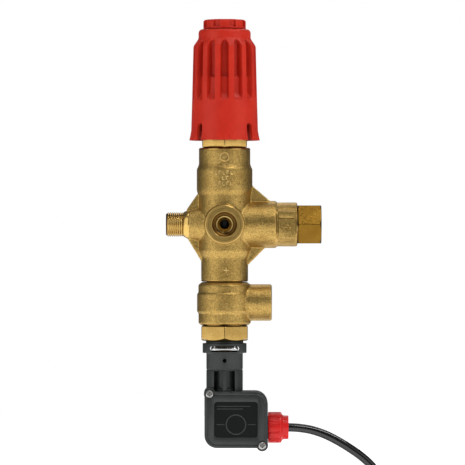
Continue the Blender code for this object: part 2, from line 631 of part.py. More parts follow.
def switch_housing(switch_pivot):
    housing = turned("switch_housing", [
        (0.0, TUBE_TOP), (0.0128, TUBE_TOP), (0.0128, -0.0811), (COLLAR_SW_R, -0.0811),
        (COLLAR_SW_R, -0.0876), (TUBE_R, -0.0878), (TUBE_R, -0.1142), (0.0, -0.1142)],
        steps=24, finish=BLACK, parent=switch_pivot)
    for side, (front, back) in enumerate(((-0.0150, -0.0022), (0.0022, 0.0150))):
        for hand, (left, right) in enumerate(((-0.0072, -0.00125), (0.00125, 0.0070))):
            window = block("cutter_window_%d%d" % (side, hand), (left, front, -0.1134),
                           (right, back, -0.0997))
            cut(housing, window)
    core = turned("tool_core", [
        (0.0, -0.0990), (0.0080, -0.0990), (0.0080, -0.1115), (0.0093, -0.1120),
        (0.0093, -0.1142), (0.0, -0.1142)], steps=20)
    box = plate("tool_box", box_outline(0.0), BOX_FRONT_Y, BOX_BACK_Y)
    join(housing, core, box)
    cavity = plate("cutter_cavity", box_outline(BOX_WALL, lugs=False), BOX_FRONT_Y - 0.0010,
                   BOX_BACK_Y - 0.0022)
    cut(cavity, *lug_rods("tool_lug_wall", 0.0034, BOX_FRONT_Y - 0.0020, 0.0042))
    cut(housing, cavity)
    for i, (x, z) in enumerate(MICRO_HOLES):
        post = rod("tool_micro_post_%d" % i, 0.0030, -BOX_BACK_Y + 0.0012, -0.0056, steps=12,
                   turn=ALONG_MINUS_Y, place=(x, 0.0, z))
        hole = rod("cutter_micro_post_%d" % i, 0.0016, -0.0108, -0.0050, steps=10,
                   turn=ALONG_MINUS_Y, place=(x, 0.0, z))
        join(housing, post)
        cut(housing, hole)
    stub = rod("tool_gland_stub", 0.0080, BOX_RIGHT - 0.0020, 0.0369, steps=20, turn=ALONG_X,
               place=(0.0, 0.0, CABLE_Z))
    cable_way = rod("cutter_cable_way", 0.0042, 0.0250, 0.0380, steps=16, turn=ALONG_X,
                    place=(0.0, 0.0, CABLE_Z))
    bore = turned("cutter_switch_bore", [
        (0.0, -0.0780), (0.0098, -0.0780), (0.0098, -0.0969), (0.0060, -0.0969),
        (0.0060, -0.1100), (0.0033, -0.1100), (0.0033, -0.1170), (0.0, -0.1170)], steps=20)
    vent = rod("cutter_vent", 0.0014, 0.0050, 0.0140, steps=12, turn=ALONG_MINUS_Y,
               place=(0.0, 0.0, -0.0927))
    end_x, half_height = 0.0080, 0.0020
    stadium = (arc((end_x, CLIP_Z), half_height, -90, 90, 6)
               + arc((-end_x, CLIP_Z), half_height, 90, 270, 6))
    clip_slot = plate("cutter_clip_slot", stadium, -0.0170, 0.0170)
    screw_holes = lug_rods("cutter_lid_screw", 0.0016, BOX_FRONT_Y - 0.0010, 0.0010)
    join(housing, stub)
    cut(housing, cable_way, bore, vent, clip_slot, *screw_holes)


def box_cover(switch_pivot):
    back = BOX_FRONT_Y - GAP
    front = back - GASKET_THICKNESS
    gasket = plate("lid_gasket", box_outline(0.0006), front, back, finish=RUBBER,
                   parent=switch_pivot)
    opening = plate("cutter_gasket", box_outline(BOX_WALL, lugs=False), front - 0.0010,
                    back + 0.0010)
    cut(opening, *lug_rods("tool_gasket_lug", 0.0034, front - 0.0020, back + 0.0020))
    cut(gasket, opening, *lug_rods("cutter_gasket_hole", 0.0017, front - 0.0010, back + 0.0010))

    lid_back = front - GAP
    lid_front = lid_back - LID_THICKNESS
    lid = plate("box_lid", box_outline(0.0), lid_front, lid_back, finish=BLACK,
                parent=switch_pivot)
    left, right, low, high = PANEL
    recess = block("cutter_panel", (left, lid_front - 0.0010, low),
                   (right, lid_front + 0.0006, high))
    cut(lid, recess, *lug_rods("cutter_lid_hole", 0.0017, lid_front - 0.0010, lid_back + 0.0010))

    seat = -lid_front + GAP
    for i, (x, z) in enumerate(LUGS):
        turned("lid_screw_%d" % (i + 1), [
            (0.0, seat + 0.0017), (0.0022, seat + 0.0017), (0.0027, seat), (0.0013, seat),
            (0.0013, 0.0005), (0.0, 0.0005)], steps=12,
            finish=STEEL, parent=switch_pivot, place=(x, 0.0, z), turn=ALONG_MINUS_Y)


def snap_switch(switch_pivot, plunger_pivot, button_pivot):
    length, depth, height = MICRO_SIZE
    foot = MICRO_TOP - height
    case = block("microswitch", (MICRO_LEFT, -depth / 2, foot),
                 (MICRO_LEFT + length, depth / 2, MICRO_TOP), finish=PHENOLIC,
                 parent=switch_pivot)
    well = block("cutter_button_well", (-0.0017, -0.0024, MICRO_TOP - 0.0060),
                 (0.0017, 0.0024, MICRO_TOP + 0.0010))
    cut(case, well)
    for i, (x, z) in enumerate(MICRO_HOLES):
        hole = rod("cutter_micro_hole_%d" % i, 0.0016, -0.0080, 0.0080, steps=12,
                   turn=ALONG_MINUS_Y, place=(x, 0.0, z))
        cut(case, hole)
        turned("microswitch_screw_%d" % (i + 1), [
            (0.0, 0.0073), (0.0026, 0.0073), (0.0026, 0.00545),
            (0.0013, 0.00545), (0.0013, -0.0100), (0.0, -0.0100)], steps=10, finish=STEEL,
            parent=switch_pivot, place=(x, 0.0, z), turn=ALONG_MINUS_Y)
    names = ("terminal_common", "terminal_normally_closed", "terminal_normally_open")
    for name, x in zip(names, TERMINAL_X):
        block(name, (x - 0.0022, -0.0004, foot - GAP - 0.0076),
              (x + 0.0022, 0.0004, foot - GAP), finish=COPPER, parent=switch_pivot)
    block("microswitch_button", (-0.0013, -0.0020, MICRO_TOP - 0.0030),
          (0.0013, 0.0020, MICRO_TOP + 0.0017), finish=BUTTON_RED, parent=button_pivot)
    # the pressure side: a small piston in the banjo screw pushes the rod down on the button
    turned("switch_piston", [
        (0.0, -0.0760), (0.00295, -0.0760), (0.00295, -0.0789), (0.0019, -0.0789),
        (0.0019, -0.0807), (0.00295, -0.0807), (0.00295, -0.0968), (0.0, -0.0968)], steps=20,
        finish=STEEL, parent=plunger_pivot)
    o_ring("switch_piston_oring", 0.0025, 0.0005, -0.0798, parent=plunger_pivot)
    turned("push_rod", [
        (0.0, -0.0971), (0.0054, -0.0971), (0.0054, -0.0990), (0.0030, -0.0990),
        (0.0030, -0.1210), (0.0, -0.1210)], steps=16, finish=BLACK, parent=plunger_pivot)
    coil = helix(0.0042, -0.1096 + 0.00045, -0.0993 - 0.00045, 4.5, 8)
    wire("switch_spring", coil, 0.00045, finish=SPRING_STEEL)


def leads(switch_pivot):
    level = CABLE_Z
    wire("lead_normally_open", smooth_route([
        (0.0242, -0.0013, level), (0.0230, -0.0013, level),
        (0.0205, -0.0016, level - 0.0024),
        (0.0175, -0.0016, level - 0.0054), (TERMINAL_X[2], -0.0015, level - 0.0074)], 0.0020),
        0.0007, finish=WIRE_BROWN, parent=switch_pivot)
    wire("lead_normally_closed", smooth_route([
        (0.0242, 0.0014, level + 0.0004), (0.0230, 0.0015, level + 0.0002),
        (0.0205, 0.0030, level - 0.0034),
        (0.0120, 0.0030, level - 0.0069), (0.0070, 0.0020, level - 0.0079),
        (TERMINAL_X[1], 0.0015, level - 0.0074)], 0.0024),
        0.0007, finish=WIRE_BLUE, parent=switch_pivot)
    wire("lead_common", smooth_route([
        (0.0242, 0.0, level - 0.0017), (0.0230, -0.0003, level - 0.0019),
        (0.0205, -0.0036, level - 0.0074),
        (0.0100, -0.0038, level - 0.0094), (-0.0010, -0.0032, level - 0.0094),
        (TERMINAL_X[0], -0.0015, level - 0.0074)], 0.0030),
        0.0007, finish=WIRE_BLACK, parent=switch_pivot)


def cable_gland(switch_pivot):
    turned("gland_nut", [
        (0.0079, GLAND_END), (0.0081, GLAND_END - 0.0004), (0.0081, 0.0404), (0.0086, 0.0394),
        (0.0104, 0.0385), (GLAND_R, 0.0380), (GLAND_R, GLAND_START), (0.0083, GLAND_START),
        (0.0083, 0.0372), (0.0074, 0.0376), (0.0055, 0.0412), (0.0034, 0.0416),
        (0.0034, GLAND_END)], steps=16, finish=GLAND_RED, parent=switch_pivot, turn=ALONG_X,
        place=(0.0, 0.0, CABLE_Z))
    turned("gland_seal", [
        (0.0048, 0.0409), (0.0068, 0.0372), (0.00325, 0.0372), (0.00325, 0.0409)], steps=16,
        finish=RUBBER, parent=switch_pivot, turn=ALONG_X, place=(0.0, 0.0, CABLE_Z))


def retaining_clip(clip_pivot):
    front, back, bend = -0.0129, 0.0110, 0.0024
    corner = arc((CLIP_LEG_X - bend, front + bend), bend, -90, 0, 5)
    half = [(x, y, CLIP_Z) for x, y in corner] + [(CLIP_LEG_X, back, CLIP_Z)]
    other = [(-x, y, z) for x, y, z in reversed(half)]
    wire("retaining_clip", other + half, CLIP_WIRE / 2, finish=STEEL, parent=clip_pivot)


# ---- the cable, hanging from the gland and coiled on the surface below ----
CABLE_ROUTE = [
    (0.0247, 0.0, -0.1386), (0.0300, 0.0, -0.1386), (0.0370, 0.0, -0.1386),
    (0.0436, 0.0, -0.1386), (0.0510, 0.0, -0.1390), (0.0594, 0.0, -0.1404),
    (0.0684, 0.0, -0.1434), (0.0772, 0.0, -0.1478), (0.0862, 0.0, -0.1533),
    (0.0946, 0.0, -0.1594), (0.1016, 0.0, -0.1663), (0.1064, 0.0, -0.1745),
    (0.1089, 0.0, -0.1838), (0.1094, 0.0, -0.1939), (0.1094, 0.0021, -0.2042),
    (0.1094, 0.0079, -0.2130), (0.1094, 0.0167, -0.2188), (0.1094, 0.0270, CABLE_FLOOR_Z),
    (0.1094, 0.0326, CABLE_FLOOR_Z)]


def cable(switch_pivot):
    wire("cable", smooth_route(CABLE_ROUTE, 0.0085), CABLE_R, finish=CABLE, parent=switch_pivot)
    foot = CABLE_FLOOR_Z - CABLE_R
    top = foot + COIL_HEIGHT
    centre_x, centre_y = COIL_CENTRE
    place = (centre_x, centre_y, 0.0)
    edge = 0.0020
    turned("cable_coil", [
        (COIL_INNER_R + edge, top), (COIL_OUTER_R - edge, top), (COIL_OUTER_R, top - edge),
        (COIL_OUTER_R, foot + edge), (COIL_OUTER_R - edge, foot), (COIL_INNER_R + edge, foot),
        (COIL_INNER_R, foot + edge), (COIL_INNER_R, top - edge)], steps=24, finish=CABLE,
        parent=switch_pivot, place=place)
    # a flat strap round the coil's section, its head on top
    inside = (COIL_INNER_R - GAP, COIL_OUTER_R + GAP)
    half, thick = TIE_HALF_WIDTH, TIE_THICKNESS
    turn = (0.0, 0.0, TIE_ANGLE)
    tie = block("cable_tie", (inside[0] - thick, -half, foot - GAP - thick),
                (inside[1] + thick, half, top + GAP + thick), finish=BLACK,
                parent=switch_pivot, place=place, turn=turn)
    opening = block("cutter_tie", (inside[0], -half - 0.0010, foot - GAP),
                    (inside[1], half + 0.0010, top + GAP), place=place, turn=turn)
    head = block("tool_tie_head", (0.0300, -0.0026, top + GAP + 0.0002),
                 (0.0350, 0.0026, top + GAP + 0.0034), place=place, turn=turn)
    cut(tie, opening)
    join(tie, head)
    # stripped cores at the far end, drooping from the top layer to the surface
    start_z = foot + 3 * CABLE_R
    start = Vector((centre_x - 0.0200, centre_y + 0.0412, start_z))
    names = (("core_brown", WIRE_BROWN), ("core_blue", WIRE_BLUE), ("core_black", WIRE_BLACK))
    for i, (name, finish) in enumerate(names):
        spread = i * 0.0034
        side = Vector((0.0, spread, 0.0))
        floor = foot + CORE_R
        wire(name, smooth_route([
            start + side * 0.6, start + Vector((-0.0050, 0.0010, -0.0008)) + side * 0.8,
            start + Vector((-0.0110, 0.0022, -0.0045)) + side,
            Vector((start.x - 0.0160, start.y + 0.0032, floor)) + side * 1.3,
            Vector((start.x - 0.0240, start.y + 0.0040, floor)) + side * 1.6], 0.0038),
            CORE_R, finish=finish, parent=switch_pivot)


def build():
    stem = pivot("stem_slide")
    spring_plate = pivot("spring_plate_slide")
    knob = pivot("knob_hinge")
    check = pivot("check_slide")
    banjo = pivot("banjo_hinge")
    switch = pivot("switch_hinge")
    plunger = pivot("plunger_slide")
    button = pivot("button_slide")
    clip = pivot("clip_slide", (0.0, 0.0, CLIP_Z))
    valve_body()
    spring_housing()
    inner_valve(stem)
    outlet_fitting(check)
    bypass_banjo(banjo)
    banjo_screw()
    knob_assembly(spring_plate, knob)
    switch_housing(switch)
    box_cover(switch)
    snap_switch(switch, plunger, button)
    leads(switch)
    cable_gland(switch)
    retaining_clip(clip)
    cable(switch)


build()
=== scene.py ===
"""Looks for the unloader valve with its clip-on pressure switch.

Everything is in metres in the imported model's frame: +X towards the outlet, +Z up to the knob,
-Y the front. Heights are above the inlet's axis, and radii are from each part's own axis.
Profiles wrapped in mm() are written in millimetres.
"""
import json
import math

import bmesh
import bpy
import numpy as np
from mathutils import Matrix, Vector


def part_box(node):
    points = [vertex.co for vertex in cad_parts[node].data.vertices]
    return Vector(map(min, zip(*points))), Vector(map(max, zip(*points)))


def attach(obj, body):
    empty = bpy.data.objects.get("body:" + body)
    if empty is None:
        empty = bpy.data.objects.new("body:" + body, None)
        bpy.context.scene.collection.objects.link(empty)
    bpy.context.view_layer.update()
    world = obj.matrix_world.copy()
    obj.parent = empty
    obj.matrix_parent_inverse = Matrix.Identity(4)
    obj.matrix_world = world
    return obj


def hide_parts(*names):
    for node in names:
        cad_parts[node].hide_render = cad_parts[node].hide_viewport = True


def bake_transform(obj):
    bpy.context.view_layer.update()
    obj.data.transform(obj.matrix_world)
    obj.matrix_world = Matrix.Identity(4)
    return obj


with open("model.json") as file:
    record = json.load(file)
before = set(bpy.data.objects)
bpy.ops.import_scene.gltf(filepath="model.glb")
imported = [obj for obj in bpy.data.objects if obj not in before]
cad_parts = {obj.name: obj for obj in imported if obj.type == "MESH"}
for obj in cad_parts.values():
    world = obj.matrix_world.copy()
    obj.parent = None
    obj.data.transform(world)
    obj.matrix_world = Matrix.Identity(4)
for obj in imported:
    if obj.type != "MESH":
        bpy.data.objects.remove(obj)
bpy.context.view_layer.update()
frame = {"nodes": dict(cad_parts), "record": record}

# ---- places read from the frame ----
BONNET_LOW, BONNET_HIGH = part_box("spring_housing")
AXIS_X = (BONNET_LOW.x + BONNET_HIGH.x) / 2
GLAND_LOW, GLAND_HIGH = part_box("gland_nut")
COIL_LOW, COIL_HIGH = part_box("cable_coil")
FLOOR_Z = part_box("cable_tie")[0].z
CABLE_Z = (GLAND_LOW.z + GLAND_HIGH.z) / 2
AXIS = Vector((AXIS_X, 0.0, 0.0))

# ---- the photograph's view ----
VIEW_CENTRE = Vector((AXIS_X + 0.0054, 0.0, -0.0055))
VIEW_HALF_HEIGHT = 0.1588
LENS = 300.0
SENSOR = 36.0

# ---- shared sizes ----
THREAD_PITCH = 0.001337
COLLAR_R, NECK_R, LOWER_R = 0.0175, 0.0190, 0.0160
BLOCK_HALF = 0.0136
FORGING_VOXEL = 0.00045

ALONG_Z = Matrix.Identity(3)
ALONG_X = Matrix.Rotation(math.radians(90), 3, "Y")
ALONG_MINUS_Y = Matrix.Rotation(math.radians(90), 3, "X")


# ---- node helpers ----
def new_material(name):
    made = bpy.data.materials.new(name)
    made.use_nodes = True
    tree = made.node_tree
    return made, tree, tree.nodes["Principled BSDF"]


def feed(tree, socket, value):
    """Link an output to the socket, or give the socket a plain value."""
    if hasattr(value, "is_linked"):
        tree.links.new(value, socket)
    elif socket.type == "RGBA":
        socket.default_value = (*value, 1.0)
    else:
        socket.default_value = value


def node(tree, kind, inputs=(), **settings):
    made = tree.nodes.new(kind)
    for key, value in settings.items():
        setattr(made, key, value)
    for key, value in dict(inputs).items():
        feed(tree, made.inputs[key], value)
    return made


def noise(tree, scale, detail, roughness, place):
    return node(tree, "ShaderNodeTexNoise", {
        "Scale": scale, "Detail": detail, "Roughness": roughness,
        "Vector": place}).outputs["Fac"]


def ramp(tree, factor, stops):
    made = tree.nodes.new("ShaderNodeValToRGB")
    tree.links.new(factor, made.inputs["Fac"])
    elements = made.color_ramp.elements
    while len(elements) < len(stops):
        elements.new(0.5)
    for element, (place, colour) in zip(elements, stops):
        element.position = place
        value = colour if isinstance(colour, tuple) else (colour,) * 3
        element.color = (*value, 1.0)
    return made.outputs["Color"]


def drift(tree, place, scale, detail, roughness, *stops):
    """A value or colour that wanders between the stops from place to place."""
    return ramp(tree, noise(tree, scale, detail, roughness, place), stops)


def mix_colour(tree, factor, first, second, blend="MIX"):
    return node(tree, "ShaderNodeMix", {0: factor, 6: first, 7: second}, data_type="RGBA",
                blend_type=blend).outputs[2]


def maths(tree, operation, first, second=0.0):
    return node(tree, "ShaderNodeMath", {0: first, 1: second}, operation=operation).outputs[0]


def bump(tree, height, distance, strength, normal=None):
    made = node(tree, "ShaderNodeBump", {"Height": height, "Distance": distance,
                                         "Strength": strength})
    if normal is not None:
        tree.links.new(normal, made.inputs["Normal"])
    return made.outputs["Normal"]


def object_place(tree):
    return tree.nodes.new("ShaderNodeTexCoord").outputs["Object"]


def painted_corner_shade(tree, tone, colour, share, distance, low, high):
    """Painted shade: mix the colour in towards corners and holes, by up to the share."""
    shade = node(tree, "ShaderNodeAmbientOcclusion", {"Distance": distance}, samples=8)
    depth = ramp(tree, shade.outputs["AO"], [(low, 1.0), (high, 0.0)])
    return mix_colour(tree, maths(tree, "MULTIPLY", depth, share), tone, colour)


def surface(tree, shader, tone, rough, normal, metallic=0.0):
    for socket, value in (("Base Color", tone), ("Roughness", rough), ("Normal", normal),
                          ("Metallic", metallic)):
        feed(tree, shader.inputs[socket], value)


# ---- materials ----
TOOL_PITCH = 0.00022


def forged_brass():
    """Hot-forged and sand-blasted: sparkling grain, dull patches, and painted shade in the
    corners.
    """
    made, tree, shader = new_material("forged_brass")
    place = object_place(tree)
    tone = drift(tree, place, 85.0, 4.0, 0.6, (0.30, (0.415, 0.264, 0.073)),
                 (0.70, (0.560, 0.370, 0.112)))
    grain = noise(tree, 1150.0, 3.0, 0.7, place)
    # Random grain tone; its brightest specks are painted sparkle, a painted highlight on the
    # sand-blasted surface.
    speck = ramp(tree, grain, [(0.34, 0.55), (0.50, 0.95), (0.66, 1.42)])
    tone = mix_colour(tree, 0.85, tone, speck, "MULTIPLY")
    pits = drift(tree, place, 520.0, 2.0, 0.5, (0.29, 1.0), (0.36, 0.0))
    tone = mix_colour(tree, maths(tree, "MULTIPLY", pits, 0.55), tone, (0.150, 0.095, 0.030))
    # Painted shade: darker brown towards the forging's corners and creases.
    tone = painted_corner_shade(tree, tone, (0.110, 0.068, 0.020), 0.72, 0.004, 0.25, 0.90)
    rough = drift(tree, place, 420.0, 3.0, 0.6, (0.3, 0.37), (0.7, 0.50))
    wave = bump(tree, noise(tree, 120.0, 2.0, 0.5, place), 0.0002, 0.6)
    coarse = bump(tree, noise(tree, 620.0, 3.0, 0.6, place), 0.00018, 0.8, wave)
    surface(tree, shader, tone, rough, bump(tree, grain, 0.00011, 1.0, coarse), 1.0)
    return made


def machined_brass(name, axis, centre=(0.0, 0.0, 0.0), tint=(1.0, 1.0, 1.0), roughness=0.24,
                   groove=None):
    """Turned brass: bright, with fine tool marks round the axis X, Y or Z through centre.

    groove gives a thread's (root, crest) radii, for painted shade that darkens it towards the
    root.
    """
    made, tree, shader = new_material(name)
    moved = node(tree, "ShaderNodeVectorMath", {0: object_place(tree), 1: centre},
                 operation="SUBTRACT").outputs[0]
    split = node(tree, "ShaderNodeSeparateXYZ", {"Vector": moved})
    squares = [maths(tree, "POWER", split.outputs[other], 2.0) for other in "XYZ"
               if other != axis]
    radius = maths(tree, "SQRT", maths(tree, "ADD", *squares))
    along = maths(tree, "ADD", split.outputs[axis], radius)
    wander = maths(tree, "MULTIPLY", noise(tree, 45.0, 2.0, 0.5, moved), TOOL_PITCH * 1.2)
    marks = maths(tree, "SINE", maths(tree, "MULTIPLY", maths(tree, "ADD", along, wander),
                                      2 * math.pi / TOOL_PITCH))
    dark, light = (tuple(c * t for c, t in zip(brass, tint))
                   for brass in ((0.500, 0.345, 0.112), (0.610, 0.440, 0.165)))
    tone = drift(tree, moved, 130.0, 3.0, 0.55, (0.3, dark), (0.7, light))
    # Painted shade: the thread darkens towards its root.
    if groove:
        root, crest = groove
        height = maths(tree, "DIVIDE", maths(tree, "SUBTRACT", radius, root), crest - root)
        shade = ramp(tree, height, [(0.10, (0.12, 0.08, 0.05)), (0.80, 1.0)])
        tone = mix_colour(tree, 1.0, tone, shade, "MULTIPLY")
    else:
        # Painted shade: darker towards corners and holes.
        tone = painted_corner_shade(tree, tone, (0.085, 0.045, 0.012), 0.85, 0.0025, 0.35, 0.92)
    rough = drift(tree, moved, 500.0, 2.0, 0.6, (0.3, roughness * 0.85),
                  (0.7, roughness * 1.15))
    surface(tree, shader, tone, rough, bump(tree, marks, 0.000001, 0.5), 1.0)
    return made


def steel(name, colour, roughness):
    made, tree, shader = new_material(name)
    place = object_place(tree)
    dull, dark = (tuple(share * c for c in colour) for share in (0.85, 0.15))
    tone = drift(tree, place, 300.0, 3.0, 0.6, (0.3, dull), (0.7, colour))
    # Painted shade: darker towards corners and sockets, such as a screw's recess.
    tone = painted_corner_shade(tree, tone, dark, 1.0, 0.0012, 0.30, 0.95)
    rough = drift(tree, place, 1500.0, 2.0, 0.6, (0.3, roughness * 0.8), (0.7, roughness * 1.3))
    grain = bump(tree, noise(tree, 3000.0, 2.0, 0.6, place), 0.00001, 0.5)
    surface(tree, shader, tone, rough, grain, 1.0)
    return made


def plastic(name, dark, light, roughness, grain=0.00003, grain_scale=2200.0, scuff=0.0,
            shine=0.5, hollow=0.0):
    """Moulded plastic: slight colour drift, spark-eroded grain, faint scuffs, painted shade in the
    hollows.
    """
    made, tree, shader = new_material(name)
    place = object_place(tree)
    tone = drift(tree, place, 70.0, 3.0, 0.55, (0.3, dark), (0.7, light))
    if scuff:
        streak = node(tree, "ShaderNodeMapping", {"Vector": place, "Scale": (1.0, 1.0, 0.35),
                                                  "Rotation": (0.5, 0.3, 0.2)}).outputs[0]
        lines = drift(tree, streak, 900.0, 4.0, 0.75, (0.60, 0.0), (0.74, scuff))
        tone = mix_colour(tree, lines, tone, tuple(min(1.0, 2.4 * c + 0.02) for c in light))
    # Painted shade: darker towards the hollows, by up to hollow.
    if hollow:
        tone = painted_corner_shade(tree, tone, tuple(0.15 * c for c in dark), hollow, 0.008, 0.15, 0.80)
    rough = drift(tree, place, 500.0, 3.0, 0.6, (0.3, roughness * 0.88),
                  (0.7, roughness * 1.15))
    fine = bump(tree, noise(tree, grain_scale, 2.0, 0.6, place), grain, 0.7)
    surface(tree, shader, tone, rough, fine)
    shader.inputs["Specular IOR Level"].default_value = shine
    return made


FORGED = forged_brass()
TURNED_Z = machined_brass("machined_brass", "Z", AXIS, (0.98, 0.88, 0.72))
TURNED_X = machined_brass("machined_brass_x", "X")
# A brighter copy of the turned brass for the inlet thread: painted light.
THREAD_X = machined_brass("thread_brass", "X", tint=(1.35, 1.25, 1.05), groove=(0.00755, 0.00833))
TURNED_Y = machined_brass("machined_brass_y", "Y", AXIS, (1.02, 0.94, 0.80), 0.34)
# A darker, browner copy of the turned brass for the thread down the front port: painted shade,
# with more painted shade at the roots.
THREAD_Y = machined_brass("thread_brass_y", "Y", AXIS, (0.75, 0.56, 0.36), 0.36,
                          groove=(0.0092, 0.0040))
# A much darker copy of the turned brass for the outlet hexagon: painted shade.
HEX_BRASS = machined_brass("hexagon_brass", "X", tint=(0.38, 0.28, 0.11), roughness=0.30)
# A brightened copy of the turned brass for the forging marks and the port seat: painted highlight.
HIGHLIGHT_BRASS = machined_brass("painted_highlight_brass", "Z", AXIS, (1.45, 1.45, 1.45), 0.34)
STAINLESS = steel("stainless_steel", (0.50, 0.49, 0.47), 0.30)
# Near-black steel for the stainless parts inside the valve: painted shade, so the bores look dark.
SHADE_STEEL = steel("painted_shade_steel", (0.10, 0.10, 0.10), 0.5)
ZINC = steel("zinc_steel", (0.66, 0.66, 0.65), 0.22)
SPRING = steel("spring_steel", (0.42, 0.42, 0.44), 0.35)
# hollow=0.4 gives the knob painted shade in its slots and grooves.
KNOB_RED = plastic("knob_red", (0.540, 0.020, 0.009), (0.620, 0.030, 0.012), 0.40,
                   grain=0.00002, grain_scale=1500.0, scuff=0.05, shine=0.22, hollow=0.4)
GLAND_RED = plastic("gland_red", (0.600, 0.010, 0.009), (0.700, 0.016, 0.013), 0.33,
                    grain=0.00001, shine=0.3)
BLACK = plastic("black_plastic", (0.0178, 0.0220, 0.0202), (0.0262, 0.0312, 0.0292), 0.40,
                grain=0.00002, grain_scale=2000.0, scuff=0.10)
LABEL_BLACK = plastic("label_black", (0.004, 0.0055, 0.005), (0.007, 0.009, 0.0085), 0.34,
                      grain=0.00002, grain_scale=1500.0, shine=0.15)
CASE = plastic("microswitch_case", (0.05, 0.05, 0.06), (0.07, 0.07, 0.08), 0.5)
BUTTON = plastic("button_red", (0.60, 0.04, 0.02), (0.70, 0.06, 0.03), 0.4)
RUBBER = plastic("rubber", (0.010, 0.010, 0.010), (0.018, 0.018, 0.018), 0.7)
SHEATH = plastic("cable_sheath", (0.004, 0.004, 0.0042), (0.006, 0.006, 0.0065), 0.11,
                 grain=0.000001, shine=0.65)
TINNED = steel("tinned_copper", (0.70, 0.62, 0.52), 0.3)
BROWN = plastic("wire_brown", (0.10, 0.035, 0.012), (0.13, 0.05, 0.02), 0.35, grain=0.000005)
BLUE = plastic("wire_blue", (0.010, 0.045, 0.30), (0.015, 0.07, 0.38), 0.35, grain=0.000005)
CORE_BLACK = plastic("wire_black", (0.008, 0.008, 0.008), (0.014, 0.014, 0.014), 0.35,
                     grain=0.000005)
SLOT_FINISH = {
    "forged_brass": FORGED, "machined_brass": TURNED_Z, "stainless_steel": STAINLESS,
    "zinc_steel": ZINC, "spring_steel": SPRING, "knob_red": KNOB_RED, "gland_red": GLAND_RED,
    "black_plastic": BLACK, "microswitch_case": CASE, "button_red": BUTTON, "rubber": RUBBER,
    "cable_sheath": SHEATH, "tinned_copper": TINNED, "wire_brown": BROWN, "wire_blue": BLUE,
    "wire_black": CORE_BLACK}


# ---- camera, stage and light ----
def make_camera():
    data = bpy.data.cameras.new("camera")
    data.lens = LENS
    data.sensor_width = SENSOR
    camera = bpy.data.objects.new("camera", data)
    distance = VIEW_HALF_HEIGHT * 2 * LENS / SENSOR
    camera.location = VIEW_CENTRE + Vector((0.0, -distance, 0.0))
    camera.rotation_euler = (math.radians(90), 0.0, 0.0)
    bpy.context.scene.collection.objects.link(camera)
    bpy.context.scene.camera = camera


def area_light(name, place, target, size, power, colour=(1.0, 1.0, 1.0)):
    data = bpy.data.lights.new(name, "AREA")
    data.shape = "RECTANGLE"
    data.size, data.size_y = size
    data.energy = power
    data.color = colour
    light = bpy.data.objects.new(name, data)
    light.location = place
    aim = Vector(target) - Vector(place)
    light.rotation_euler = aim.to_track_quat("-Z", "Y").to_euler()
    bpy.context.scene.collection.objects.link(light)


def make_stage():
    """A white floor in two parts; the far one glows more and isn't mirrored in the brass."""
    half, seam, reach = 2.2, 0.32, 2.0
    for name, near, far, glow in (("stage_floor", -reach, seam, 0.80),
                                  ("stage_far_floor", seam, reach, 1.0)):
        made, tree, shader = new_material(name)
        for socket, value in (("Base Color", (0.93, 0.93, 0.93)), ("Roughness", 0.9),
                              ("Emission Color", (1.0, 1.0, 1.0)),
                              ("Emission Strength", glow)):
            feed(tree, shader.inputs[socket], value)
        mesh = mesh_of(name, [(-half, near, FLOOR_Z), (half, near, FLOOR_Z),
                              (half, far, FLOOR_Z), (-half, far, FLOOR_Z)], [(0, 1, 2, 3)])
        mesh.materials.append(made)
        item = bpy.data.objects.new(name, mesh)
        bpy.context.scene.collection.objects.link(item)
        item.visible_glossy = name == "stage_floor"


def make_world():
    world = bpy.data.worlds.new("studio")
    bpy.context.scene.world = world
    world.use_nodes = True
    tree = world.node_tree
    tree.nodes.clear()
    path = node(tree, "ShaderNodeLightPath")
    seen = node(tree, "ShaderNodeBackground", {"Color": (1.0, 1.0, 1.0), "Strength": 1.0})
    felt = node(tree, "ShaderNodeBackground", {"Color": (0.80, 0.84, 0.90), "Strength": 0.14})
    blend = node(tree, "ShaderNodeMixShader", {
        0: path.outputs["Is Camera Ray"], 1: felt.outputs[0], 2: seen.outputs[0]})
    node(tree, "ShaderNodeOutputWorld", {"Surface": blend.outputs[0]})


def make_studio():
    make_camera()
    make_stage()
    make_world()
    target = (AXIS_X, 0.0, 0.0)
    area_light("left_panel", (AXIS_X - 1.22, -0.88, 0.35), target, (1.3, 2.2), 8.6)
    area_light("right_panel", (AXIS_X + 1.25, -0.80, 0.15), target, (1.1, 2.1), 5.8)
    area_light("top_panel", (AXIS_X - 0.1, -0.20, 1.15), target, (0.9, 0.4), 2.2)
    area_light("strip", (AXIS_X + 0.42, -0.34, 0.80), (AXIS_X + 0.03, 0.0, -0.12), (0.9, 0.10),
               3.6)
    area_light("back_rim", (AXIS_X + 0.1, 0.75, 0.75), target, (0.8, 0.3), 2.0)
    scene = bpy.context.scene
    scene.view_settings.view_transform = "Standard"
    scene.view_settings.look = "None"


# ---- mesh helpers ----
def mm(*pairs):
    """Pairs given in millimetres, in metres."""
    return [(a / 1000, b / 1000) for a, b in pairs]


def link(name, mesh, finish, angle=34.0):
    mesh.materials.clear()
    mesh.materials.append(finish)
    mesh.shade_smooth()
    mesh.set_sharp_from_angle(angle=math.radians(angle))
    item = bpy.data.objects.new(name, mesh)
    bpy.context.scene.collection.objects.link(item)
    return item


def mesh_of(name, vertices, faces):
    mesh = bpy.data.meshes.new(name)
    mesh.from_pydata([tuple(v) for v in vertices], [], [tuple(f) for f in faces])
    mesh.validate()
    return mesh


